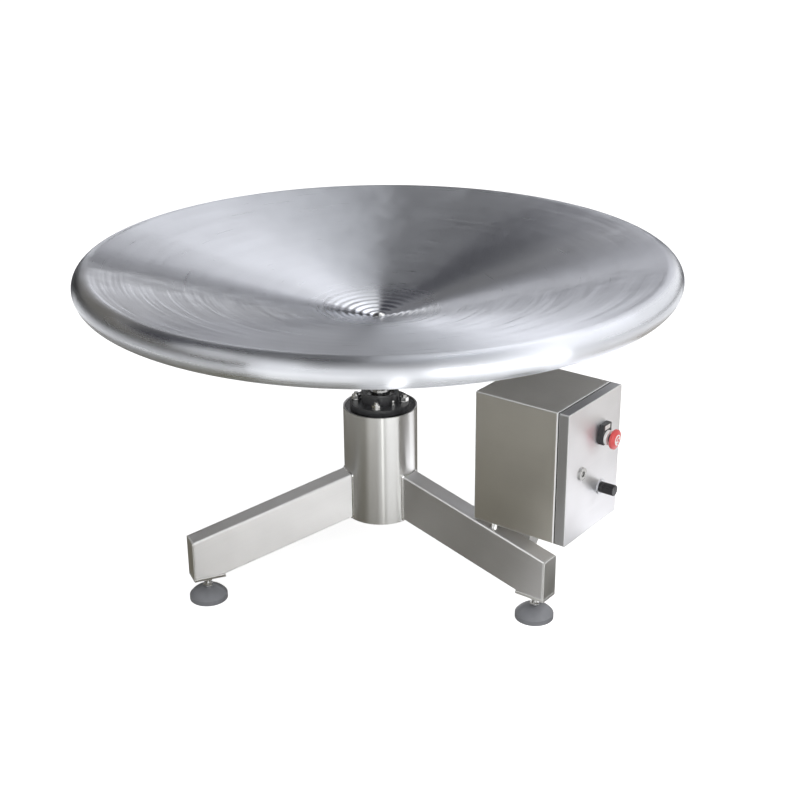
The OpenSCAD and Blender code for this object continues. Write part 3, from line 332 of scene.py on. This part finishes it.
    def bump(self, factor, depth, over=None):
        """Fine relief, over another normal where one is given."""
        bump = self.node("ShaderNodeBump", {"Strength": 1.0, "Distance": depth})
        self.join(factor, bump.inputs["Height"])
        if over:
            self.join(over, bump.inputs["Normal"])
        self.join(bump.outputs["Normal"], self.shader.inputs["Normal"])
        return bump.outputs["Normal"]


def brushed_steel(
        name, colour, roughness, turn, anisotropy=0.8, square=True, dark_from=None, painted_side_shade=None):
    """Sheet steel brushed along the turned frame's own x axis, so that its gloss spreads across that grain,
    with a painted highlight, pale and not metallic, along its edges. Square pieces have rolled corners
    between faces square to the frame. What lies past dark_from along X gets painted shade for the gap, with
    a painted highlight along the edge before it. The painted side shade darkens the faces that don't look
    along X."""
    finish = Finish(name, colour, roughness, metallic=1.0, Anisotropic=anisotropy)
    axes = Euler(turn).to_matrix().col
    along = finish.turned(axes[0].copy(), "VECTOR", "OBJECT", "WORLD")
    across = finish.node("ShaderNodeVectorMath", operation="CROSS_PRODUCT")
    finish.join(along, across.inputs[0])
    finish.join(finish.face_normal(), across.inputs[1])
    finish.join(across.outputs["Vector"], finish.shader.inputs["Tangent"])
    grain = finish.noise(BRUSH_GRAIN, turn)
    clouds = finish.noise(SHEET_CLOUDS, turn, detail=2.0)
    rounded, flat = finish.round_edges(FOLD_R, [axis.copy() for axis in axes] if square else [])
    shade = None
    # Painted shade past dark_from stands in for the gap's shadow, and a painted highlight runs along the
    # edge before it
    if dark_from is not None:
        reach = finish.component(finish.place, "X")
        highlight_from = dark_from - MOUTH_HIGHLIGHT_WIDTH
        shade = finish.step(reach, dark_from, dark_from + GAP_BLUR, 1, PAINTED_GAP_SHADE)
        flat = finish.math("MINIMUM", flat, finish.step(reach, highlight_from, highlight_from + GAP_BLUR, 1, 0))
    # Painted side shade: faces that don't look along X are darker, as if less lit
    if painted_side_shade is not None:
        facing = finish.math("ABSOLUTE", finish.component(finish.own_normal(), "X"))
        shade = finish.step(facing, *SIDE_TURN, painted_side_shade, 1)
    finish.vary_colour(clouds, share=0.06, flat=flat, shade=shade)
    finish.vary_roughness(grain, share=0.18, scale=[finish.step(flat, 0, 1, EDGE_POLISH, 1)])
    finish.bump(grain, GRAIN_DEPTH, rounded)
    return finish.material


def turned_steel(name, colour, roughness, anisotropy, depth, uneven, sway=0.0, polished=()):
    """Steel polished round the vertical axis, with fine rings of the given depth and unevenness over broad
    hollows as deep as the sway, so that its gloss spreads across the rings. Each polished band gives two
    radii and the share of the roughness at each."""
    finish = Finish(name, colour, roughness, metallic=1.0, Anisotropic=anisotropy)
    tangent = finish.node("ShaderNodeTangent", direction_type="RADIAL", axis="Z")
    finish.join(tangent.outputs["Tangent"], finish.shader.inputs["Tangent"])
    finish.put(finish.shader, {"Anisotropic Rotation": QUARTER_TURN})
    flat = finish.node("ShaderNodeVectorMath", operation="MULTIPLY")
    flat.inputs[1].default_value = (1, 1, 0)
    finish.join(finish.place, flat.inputs[0])
    radius = finish.node("ShaderNodeVectorMath", operation="LENGTH")
    finish.join(flat.outputs["Vector"], radius.inputs[0])
    side = finish.node("ShaderNodeVectorMath", operation="NORMALIZE")
    finish.join(flat.outputs["Vector"], side.inputs[0])
    ring = finish.node("ShaderNodeTexNoise", noise_dimensions="4D")
    finish.put(ring, {"Scale": STREAKS_AROUND, "Detail": 4.0})
    finish.join(side.outputs["Vector"], ring.inputs["Vector"])
    level = finish.node("ShaderNodeMath", operation="MULTIPLY")
    level.inputs[1].default_value = RINGS_PER_METRE / STREAKS_AROUND
    height = finish.component(finish.place, "Z")
    finish.join(finish.math("ADD", radius.outputs["Value"], height), level.inputs[0])
    finish.join(level.outputs[0], ring.inputs["W"])
    clouds = finish.noise(TURNED_CLOUDS, detail=3.0)
    finish.vary_colour(clouds, share=0.05)
    shares = [finish.step(radius.outputs["Value"], *band) for band in polished]
    finish.vary_roughness(ring.outputs["Fac"], uneven, shares)
    hollows = finish.bump(finish.noise(TURNED_HOLLOWS, detail=2.0), sway)
    finish.bump(ring.outputs["Fac"], depth, hollows)
    return finish.material


def plain_metal(name, colour, roughness, grain=400.0, depth=0.006 * MM):
    """Machined, plated or cast metal with an even fine grain."""
    finish = Finish(name, colour, roughness, metallic=1.0)
    fine = finish.noise((grain, grain, grain))
    clouds = finish.noise(METAL_CLOUDS, detail=2.0)
    finish.vary_colour(clouds, share=0.10)
    finish.vary_roughness(fine, share=0.2)
    finish.bump(fine, depth)
    return finish.material


def moulded(name, colour, roughness, grain=900.0, depth=0.01 * MM):
    """Moulded plastic, rubber or enamel with a fine grain and a little variation."""
    finish = Finish(name, colour, roughness)
    fine = finish.noise((grain, grain, grain), detail=2.0)
    clouds = finish.noise(PLASTIC_CLOUDS, detail=3.0)
    finish.vary_colour(clouds, share=0.10)
    finish.vary_roughness(clouds, share=0.12)
    finish.bump(fine, depth)
    return finish.material


# One finish for each slot
slot_material = {
    "dish_steel": turned_steel(
        "dish_steel", (0.78, 0.80, 0.85), 0.34, anisotropy=1.0, depth=0.006 * MM, uneven=0.20,
        sway=1.3 * MM, polished=[DISH_CENTRE_BAND, DISH_RIM_BAND]),
    "frame_steel": brushed_steel(
        "frame_steel", (0.74, 0.73, 0.71), 0.44, (0, math.pi / 2 + OFF_SQUARE, 0), square=False),
    "column_steel": turned_steel(
        "column_steel", (0.76, 0.76, 0.75), 0.29, anisotropy=0.95, depth=0.0008 * MM, uneven=0.02),
    # The box's mouth gets painted shade for the gap before the door, and a painted highlight before it
    "box_steel": brushed_steel(
        "box_steel", (0.77, 0.75, 0.70), 0.40, (0, 0, OFF_SQUARE), dark_from=BOX_MOUTH),
    # The door's side faces get painted shade
    "door_steel": brushed_steel(
        "door_steel", (0.80, 0.80, 0.82), 0.40, (0, 0, math.pi / 2 + OFF_SQUARE), painted_side_shade=0.70),
    "dark_steel": plain_metal("dark_steel", (0.20, 0.20, 0.205), 0.24),
    "bright_steel": plain_metal("bright_steel", (0.78, 0.78, 0.77), 0.18),
    "cast_body": moulded("cast_body", (0.070, 0.071, 0.075), 0.24, grain=250.0, depth=0.03 * MM),
    "alloy": plain_metal("alloy", (0.62, 0.63, 0.65), 0.38, depth=0.02 * MM),
    "pad_plastic": moulded("pad_plastic", (0.20, 0.205, 0.22), 0.36),
    "black_plastic": moulded("black_plastic", (0.016, 0.016, 0.018), 0.36),
    "red_plastic": moulded("red_plastic", (0.58, 0.070, 0.070), 0.30),
    "pale_plastic": moulded("pale_plastic", (0.76, 0.75, 0.74), 0.34),
    "tan_plastic": moulded("tan_plastic", (0.36, 0.29, 0.19), 0.45),
    "grey_plastic": moulded("grey_plastic", (0.055, 0.06, 0.068), 0.42),
    "seal_rubber": moulded("seal_rubber", (0.018, 0.018, 0.019), 0.75, grain=500.0, depth=0.1 * MM),
    "spider_rubber": moulded("spider_rubber", (0.32, 0.025, 0.02), 0.55),
    "zinc_plate": plain_metal("zinc_plate", (0.60, 0.61, 0.63), 0.30, grain=120.0),
    "motor_paint": moulded("motor_paint", (0.055, 0.085, 0.12), 0.38, grain=300.0, depth=0.06 * MM),
}
# Pieces with a finish of their own: the legs, each brushed along itself, and the door's lock
own_material = {
    name: brushed_steel(
        name + "_steel", (0.86, 0.85, 0.845), 0.46, (0, LEG_SLOPE, math.radians(angle)), anisotropy=0.95)
    for name, angle in LEG_TURN.items()
}
own_material["lock_barrel"] = plain_metal("lock_steel", (0.46, 0.46, 0.45), 0.26)
own_material["lock_core"] = own_material["lock_barrel"]
for name, piece in nodes.items():
    piece.data.materials.clear()
    piece.data.materials.append(own_material.get(name, slot_material[node_slot[name]]))


def mesh_piece(name, points, faces, slot, body):
    """A new piece from points and faces in the part's frame, smooth but for its sharp edges, with its
    finish, on its body."""
    mesh = bpy.data.meshes.new(name)
    mesh.from_pydata(points, [], faces)
    work = bmesh.new()
    work.from_mesh(mesh)
    bmesh.ops.recalc_face_normals(work, faces=work.faces)
    work.to_mesh(mesh)
    work.free()
    mesh.shade_smooth()
    mesh.set_sharp_from_angle(angle=SHARP_ANGLE)
    piece = bpy.data.objects.new(name, mesh)
    bpy.context.scene.collection.objects.link(piece)
    mesh.materials.append(slot_material[slot])
    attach(piece, body)
    return piece


def sweep(rings, closed):
    """Points and faces through rings of as many points each, joined end to start, or capped at both
    ends."""
    points = [point for ring in rings for point in ring]
    size, count = len(rings[0]), len(rings)
    faces = []
    for k in range(count if closed else count - 1):
        here, there = k * size, (k + 1) % count * size
        for i in range(size):
            j = (i + 1) % size
            faces.append((here + i, there + i, there + j, here + j))
    if not closed:
        faces.append(tuple(range(size)))
        faces.append(tuple(range((count - 1) * size, count * size)))
    return points, faces


def joined(*shapes):
    """Several shapes' points and faces as one."""
    points, faces = [], []
    for more_points, more_faces in shapes:
        base = len(points)
        points += more_points
        faces += [tuple(base + i for i in face) for face in more_faces]
    return points, faces


def turns(count):
    """So many even steps of a full turn, in radians."""
    return [2 * math.pi * k / count for k in range(count)]


def revolve(section, around):
    """A closed section of (radius, height) turned about the Z axis."""
    rings = [[(r * math.cos(a), r * math.sin(a), z) for r, z in section] for a in turns(around)]
    return sweep(rings, True)


def dish_section():
    """The dish wall's section: its upper face out over the rolled rim, and its lower face back."""
    low = Vector((0, DISH_TOP - DISH_DEPTH))
    rim = Vector((DISH_R - RIM_R, DISH_TOP - RIM_R))
    line = rim - low
    bowl_r = line.length_squared / (8 * DISH_SAG)
    along = (line.length_squared + bowl_r ** 2 - (bowl_r + RIM_R) ** 2) / (2 * line.length)
    aside = math.sqrt(bowl_r ** 2 - along ** 2)
    unit = line.normalized()
    centre = low + along * unit + aside * Vector((-unit.y, unit.x))
    start = math.atan2(centre.y - rim.y, centre.x - rim.x)
    join_r = rim.x + RIM_R * math.cos(start)

    def wall(r, depth):
        """Height of the bowl's face at a radius, so deep in the sheet."""
        return centre.y - math.sqrt((bowl_r + depth) ** 2 - (r - centre.x) ** 2)

    def ripple(r):
        """Height of the rings round the centre and of the broad waves, which end before the rim."""
        if r <= RIPPLE_FROM:
            return 0.0
        inward = max(0.0, 1 - (r - RIPPLE_FROM) / (RIPPLE_TO - RIPPLE_FROM))
        outward = min(1.0, max(0.0, (join_r - r) / WAVE_STEP))
        rings = RIPPLE_HEIGHT * inward * math.sin(2 * math.pi * (r - RIPPLE_FROM) / RIPPLE_STEP)
        return rings + WAVE_HEIGHT * outward * math.sin(2 * math.pi * r / WAVE_STEP)

    radii = [SCREW_HOLE_R + (join_r - SCREW_HOLE_R) * i / DISH_STEPS for i in range(DISH_STEPS)]
    rolls = [start - RIM_ROLL * i / RIM_STEPS for i in range(RIM_STEPS + 1)]
    upper = [(r, wall(r, 0) + ripple(r)) for r in radii]
    outer = [(rim.x + RIM_R * math.cos(t), rim.y + RIM_R * math.sin(t)) for t in rolls]
    inner_r = RIM_R - DISH_SHEET
    inner = [(rim.x + inner_r * math.cos(t), rim.y + inner_r * math.sin(t)) for t in reversed(rolls)]
    lower = [(r, wall(r, DISH_SHEET)) for r in reversed(radii[::DISH_LOWER_EVERY])]
    return upper + outer + inner + lower


dish = mesh_piece("dish_shell", *revolve(dish_section(), DISH_AROUND), "dish_steel", "turntable")
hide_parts("dish")


def threaded_stud(centre, low, high):
    """Rod with a thread cut into it, and its hexagon with broken corners."""
    levels = math.ceil((high - low) / STUD_PITCH * THREAD_STEPS)
    rod = []
    for k in range(levels + 1):
        z = low + (high - low) * k / levels
        ring = []
        for a in turns(STUD_AROUND):
            phase = (z / STUD_PITCH - a / (2 * math.pi)) % 1
            r = STUD_R - STUD_THREAD * abs(2 * phase - 1)
            ring.append((centre.x + r * math.cos(a), centre.y + r * math.sin(a), z))
        rod.append(ring)
    corners = [
        (STUD_HEX_R - STUD_BREAK, STUD_HEX_LOW), (STUD_HEX_R, STUD_HEX_LOW + STUD_BREAK),
        (STUD_HEX_R, STUD_HEX_HIGH - STUD_BREAK), (STUD_HEX_R - STUD_BREAK, STUD_HEX_HIGH),
    ]
    hexagon = []
    for r, z in corners:
        hexagon.append([(centre.x + r * math.cos(a), centre.y + r * math.sin(a), z) for a in turns(6)])
    return joined(sweep(rod, False), sweep(hexagon, False))


for number in (1, 2, 3):
    name = f"foot_stud_{number}"
    low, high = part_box(name)
    shape = threaded_stud((low + high) / 2, low.z, high.z)
    stud = mesh_piece(f"threaded_stud_{number}", *shape, "bright_steel", f"foot_{number}")
    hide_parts(name)


def weld_bead(angle):
    """Scalloped bead round the joint of a leg and the column."""
    low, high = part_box("control_leg")
    width = high.y + WELD_R / 2
    height = LEG_HEIGHT / math.cos(LEG_SLOPE) / 2 + WELD_R / 2
    middle = high.z - LEG_HEIGHT / math.cos(LEG_SLOPE) / 2
    flat_y, flat_z = width - WELD_CORNER, height - WELD_CORNER
    outline = []
    for corner, (side, up) in enumerate(((1, 1), (-1, 1), (-1, -1), (1, -1))):
        for k in range(WELD_CORNER_STEPS + 1):
            t = math.pi / 2 * (corner + k / WELD_CORNER_STEPS)
            y = side * flat_y + WELD_CORNER * math.cos(t)
            outline.append((y, up * flat_z + WELD_CORNER * math.sin(t)))
    path, walked = [], 0.0
    for (y0, z0), (y1, z1) in zip(outline, outline[1:] + outline[:1]):
        steps = max(1, round(math.dist((y0, z0), (y1, z1)) / WELD_STEP))
        for k in range(steps):
            y, up = y0 + (y1 - y0) * k / steps, z0 + (z1 - z0) * k / steps
            x = math.sqrt(COLUMN_R ** 2 - y ** 2)
            path.append(Vector((x, y, middle - math.tan(LEG_SLOPE) * (x - low.x) + up)))
    rings = []
    for k, point in enumerate(path):
        tangent = (path[(k + 1) % len(path)] - path[k - 1]).normalized()
        outward = Vector((point.x, point.y, 0)).normalized()
        aside = tangent.cross(outward).normalized()
        r = WELD_R * (1 - WELD_SCALLOP * abs(math.sin(math.pi * walked / WELD_RIPPLE)))
        walked += WELD_STEP
        ring = [point + r * (math.cos(a) * outward + math.sin(a) * aside) for a in turns(WELD_AROUND)]
        rings.append([Matrix.Rotation(angle, 3, "Z") @ corner for corner in ring])
    return sweep(rings, True)


for name, degrees in LEG_TURN.items():
    mesh_piece(name.replace("leg", "weld"), *weld_bead(math.radians(degrees)), "bright_steel", "base")


def on_head(r, a, lift):
    """Point on the stop button's domed face, by its radius, angle and lift."""
    x = HEAD_FRONT - HEAD_DOME_R + math.sqrt((HEAD_DOME_R + lift) ** 2 - r ** 2)
    return (x, HEAD_CENTRE.y + r * math.cos(a), HEAD_CENTRE.z + r * math.sin(a))


def head_ring():
    """Pale ring let into the button's face."""
    section = [
        (HEAD_RING_IN, -HEAD_LIFT), (HEAD_RING_IN, HEAD_LIFT),
        (HEAD_RING_OUT, HEAD_LIFT), (HEAD_RING_OUT, -HEAD_LIFT),
    ]
    rings = [[on_head(r, a, lift) for r, lift in section] for a in turns(HEAD_AROUND)]
    return sweep(rings, True)


def head_arrow(start):
    """Curved arrow on the ring that shows which way the button turns to let go."""
    middle = (HEAD_RING_IN + HEAD_RING_OUT) / 2
    rings = []
    for k in range(ARROW_STEPS + 1):
        share = k / ARROW_STEPS
        half = ARROW_HALF
        if share >= ARROW_SHAFT:
            half = ARROW_WIDEN * ARROW_HALF * (1 - share) / (1 - ARROW_SHAFT) + ARROW_TIP
        a = start - ARROW_SWEEP * share
        rings.append([
            on_head(middle - half, a, 0), on_head(middle - half, a, 2 * HEAD_LIFT),
            on_head(middle + half, a, 2 * HEAD_LIFT), on_head(middle + half, a, 0),
        ])
    return sweep(rings, False)


mesh_piece("estop_ring", *head_ring(), "pale_plastic", "stop_head")
mesh_piece("estop_arrows", *joined(head_arrow(0), head_arrow(math.pi)), "red_plastic", "stop_head")


def camera():
    """The photograph's camera."""
    data = bpy.data.cameras.new("camera")
    data.lens = CAMERA_LENS
    data.sensor_width = CAMERA_SENSOR
    data.clip_end = CAMERA_REACH
    made = bpy.data.objects.new("camera", data)
    bpy.context.scene.collection.objects.link(made)
    made.matrix_world = (
        Matrix.Rotation(CAMERA_AZIMUTH, 4, "Z")
        @ Matrix.Translation((0, -CAMERA_DISTANCE, CAMERA_HEIGHT))
        @ Matrix.Rotation(-CAMERA_YAW, 4, "Z")
        @ Matrix.Rotation(math.pi / 2 - CAMERA_PITCH, 4, "X")
        @ Matrix.Rotation(CAMERA_ROLL, 4, "Z")
    )
    bpy.context.scene.camera = made


def seen_mask(tree):
    """1 for rays from the camera, and for mirrored or refracted rays, so that metal shows the backdrop
    too."""
    path = tree.nodes.new("ShaderNodeLightPath")
    total = path.outputs["Is Camera Ray"]
    for name in ("Is Glossy Ray", "Is Transmission Ray"):
        either = tree.nodes.new("ShaderNodeMath")
        either.operation = "MAXIMUM"
        tree.links.new(total, either.inputs[0])
        tree.links.new(path.outputs[name], either.inputs[1])
        total = either.outputs[0]
    return total


def world(fill):
    """White to the camera and in reflections, and a plain soft fill for the rest."""
    made = bpy.data.worlds.new("studio")
    made.use_nodes = True
    tree = made.node_tree
    background = tree.nodes["Background"]
    background.inputs["Color"].default_value = (1, 1, 1, 1)
    strength = tree.nodes.new("ShaderNodeMapRange")
    strength.inputs["To Min"].default_value = fill
    strength.inputs["To Max"].default_value = 1.0
    tree.links.new(seen_mask(tree), strength.inputs["Value"])
    tree.links.new(strength.outputs["Result"], background.inputs["Strength"])
    bpy.context.scene.world = made


def floor(glow):
    """Pale floor that keeps the shadow, with a light of its own to the eye, so that it comes out white."""
    half = FLOOR_SIZE / 2
    corners = [(-half, -half, 0), (half, -half, 0), (half, half, 0), (-half, half, 0)]
    mesh = bpy.data.meshes.new("floor")
    mesh.from_pydata(corners, [], [(0, 1, 2, 3)])
    made = bpy.data.objects.new("floor", mesh)
    bpy.context.scene.collection.objects.link(made)
    material = bpy.data.materials.new("floor")
    material.use_nodes = True
    tree = material.node_tree
    shader = tree.nodes["Principled BSDF"]
    shader.inputs["Base Color"].default_value = (FLOOR_SHADE, FLOOR_SHADE, FLOOR_SHADE, 1)
    shader.inputs["Roughness"].default_value = FLOOR_ROUGHNESS
    shader.inputs["Specular IOR Level"].default_value = 0.0
    shader.inputs["Emission Color"].default_value = (1, 1, 1, 1)
    strength = tree.nodes.new("ShaderNodeMath")
    strength.operation = "MULTIPLY"
    strength.inputs[1].default_value = glow
    tree.links.new(seen_mask(tree), strength.inputs[0])
    tree.links.new(strength.outputs[0], shader.inputs["Emission Strength"])
    mesh.materials.append(material)


def soft_light(name, azimuth, elevation, distance, size, power):
    """Square area lamp aimed at the table, placed by its direction from the camera's side."""
    data = bpy.data.lights.new(name, "AREA")
    data.shape = "SQUARE"
    data.size = size
    data.energy = power
    made = bpy.data.objects.new(name, data)
    bpy.context.scene.collection.objects.link(made)
    turn, rise = studio_side(azimuth), math.radians(elevation)
    away = Vector((math.cos(turn) * math.cos(rise), math.sin(turn) * math.cos(rise), math.sin(rise)))
    made.visible_glossy = False
    made.location = LIGHT_AIM + away * distance
    made.rotation_mode = "QUATERNION"
    made.rotation_quaternion = (-away).to_track_quat("-Z", "Y")


def card_material(name, shade):
    """A card's shade, fading out at its edges."""
    material = bpy.data.materials.new(name)
    material.use_nodes = True
    material.cycles.emission_sampling = "NONE"
    tree = material.node_tree
    tree.nodes.remove(tree.nodes["Principled BSDF"])
    glow = tree.nodes.new("ShaderNodeEmission")
    glow.inputs["Color"].default_value = (*shade, 1)
    clear = tree.nodes.new("ShaderNodeBsdfTransparent")
    fade = tree.nodes.new("ShaderNodeAttribute")
    fade.attribute_name = "fade"
    mix = tree.nodes.new("ShaderNodeMixShader")
    tree.links.new(fade.outputs["Fac"], mix.inputs["Fac"])
    tree.links.new(clear.outputs["BSDF"], mix.inputs[1])
    tree.links.new(glow.outputs["Emission"], mix.inputs[2])
    tree.links.new(mix.outputs["Shader"], tree.nodes["Material Output"].inputs["Surface"])
    return material


def card(name, shade, across, along, soft, place, layer):
    """Studio card that only reflections see. Across is its span in degrees from the camera's side, along is
    its span upward in degrees, or outward in metres on the floor, and soft is the width of its fading edge
    on each. Cards overlap, each in a layer of its own before the last."""
    points, fades = [], []
    for j in range(CARD_STEPS + 1):
        for i in range(CARD_STEPS + 1):
            side = across[0] + (across[1] - across[0]) * i / CARD_STEPS
            rise = along[0] + (along[1] - along[0]) * j / CARD_STEPS
            points.append(place(side, rise, layer))
            near = (min(side - across[0], across[1] - side), min(rise - along[0], along[1] - rise))
            fade = math.prod(min(1.0, edge / width) for edge, width in zip(near, soft))
            fades.append(fade * fade * (3 - 2 * fade))
    row = CARD_STEPS + 1
    corners = [j * row + i for j in range(CARD_STEPS) for i in range(CARD_STEPS)]
    faces = [(k, k + 1, k + row + 1, k + row) for k in corners]
    mesh = bpy.data.meshes.new(name)
    mesh.from_pydata(points, [], faces)
    mesh.attributes.new("fade", "FLOAT", "POINT").data.foreach_set("value", fades)
    mesh.materials.append(card_material(name, shade))
    made = bpy.data.objects.new(name, mesh)
    bpy.context.scene.collection.objects.link(made)
    for ray in ("camera", "diffuse", "shadow", "transmission", "volume_scatter"):
        setattr(made, "visible_" + ray, False)


def studio_side(degrees):
    """The part's own direction, in radians, of a side counted rightward from the camera's."""
    return CAMERA_AZIMUTH - math.pi / 2 + math.radians(degrees)


def sky_point(side, rise, layer):
    """Point of a card round the table, by its side and rise in degrees."""
    turn, rise = studio_side(side), math.radians(rise)
    distance = CARD_DISTANCE - layer * SKY_LAYER
    flat = distance * math.cos(rise)
    return (flat * math.cos(turn), flat * math.sin(turn), CARD_CENTRE + distance * math.sin(rise))


def floor_point(side, away, layer):
    """Point of a card on the floor, by its side in degrees and its distance from the column."""
    turn = studio_side(side)
    return (away * math.cos(turn), away * math.sin(turn), (layer + 1) * FLOOR_LAYER)


# Cards round the table: shade, span across, span upward, and the width of the fading edges
SKY_CARDS = {
    "roof_left": ((0.08, 0.08, 0.08), (-184, -54), (54, 90), (6, 6)),
    "roof_front": ((0.05, 0.05, 0.06), (-62, 62), (54, 90), (6, 6)),
    "roof_right": ((0.66, 0.68, 0.71), (58, 184), (58, 90), (6, 6)),
    "front_high": ((0.28, 0.28, 0.27), (-34, 64), (33, 62), (6, 5)),
    "right_high": ((1.3, 1.3, 1.33), (60, 174), (33, 62), (5, 5)),
    "back_left_high": ((0.05, 0.05, 0.06), (-183, -88), (33, 62), (5, 5)),
    "left": ((0.01, 0.01, 0.01), (-167, -42), (-14, 20), (4, 4)),
    "left_high": ((0.18, 0.17, 0.15), (-167, -42), (15, 38), (4, 5)),
    "back_strip": ((0.40, 0.40, 0.42), (178, 198), (-14, 8), (4, 3)),
    "back_strip_mid": ((1.2, 1.2, 1.24), (183, 206), (5, 18), (4, 3)),
    "back": ((0.02, 0.02, 0.02), (154, 182), (-14, 38), (3, 5)),
    "right_low": ((0.02, 0.02, 0.02), (44, 160), (-14, 7), (4, 2)),
    "back_strip_high": ((0.20, 0.20, 0.21), (176, 200), (16, 38), (4, 4)),
    "back_high": ((0.8, 0.8, 0.84), (148, 175), (14, 31), (5, 5)),
    "back_glow": ((1.8, 1.8, 1.84), (160, 175), (23, 46), (3, 4)),
    "window_right": ((1.1, 1.1, 1.1), (112, 158), (5, 19), (5, 2)),
    "window_front": ((1.2, 1.2, 1.2), (-34, 24), (5, 33), (5, 4)),
    "window": ((1.1, 1.1, 1.1), (18, 120), (5, 33), (5, 4)),
    "front": ((5.0, 5.05, 5.1), (14, 66), (-14, 9), (5, 2)),
}
# Cards on the floor: shade, span across, span outward, and the width of the fading edges
FLOOR_CARDS = {
    "floor_near": ((0.16, 0.15, 0.125), (118, 422), (0.02, 1.9), (6, 0.1)),
    "floor_right": ((0.40, 0.36, 0.30), (54, 126), (1.0, 1.9), (6, 0.1)),
    "floor_right_near": ((1.6, 1.6, 1.65), (54, 126), (0.02, 1.1), (6, 0.1)),
    "floor_foot": ((0.14, 0.14, 0.13), (50, 84), (0.3, 0.78), (5, 0.08)),
    "floor_left": ((0.17, 0.16, 0.12), (-80, -26), (0.48, 1.3), (6, 0.1)),
    "floor_rim": ((1.5, 1.5, 1.47), (-40, 64), (1.1, 1.9), (8, 0.15)),
    "floor_front": ((0.68, 0.68, 0.67), (-10, 48), (0.3, 1.9), (6, 0.1)),
    "floor_strip": ((2.4, 2.4, 2.35), (2, 9), (0.38, 1.9), (2.5, 0.1)),
    "floor_back": ((0.05, 0.05, 0.06), (136, 224), (1.8, 5.8), (8, 0.1)),
    "floor_far": ((1.4, 1.4, 1.37), (-40, 52), (1.8, 5.8), (6, 0.1)),
}

camera()
world(WORLD_FILL)
floor(FLOOR_GLOW)
soft_light("key_light", azimuth=50, elevation=45, distance=4.0, size=2.5, power=82)
soft_light("front_light", azimuth=-10, elevation=35, distance=4.5, size=2.5, power=55)
for cards, place in ((SKY_CARDS, sky_point), (FLOOR_CARDS, floor_point)):
    for layer, (name, look) in enumerate(cards.items()):
        card(name + "_card", *look, place, layer)
bpy.context.scene.view_settings.view_transform = "Standard"
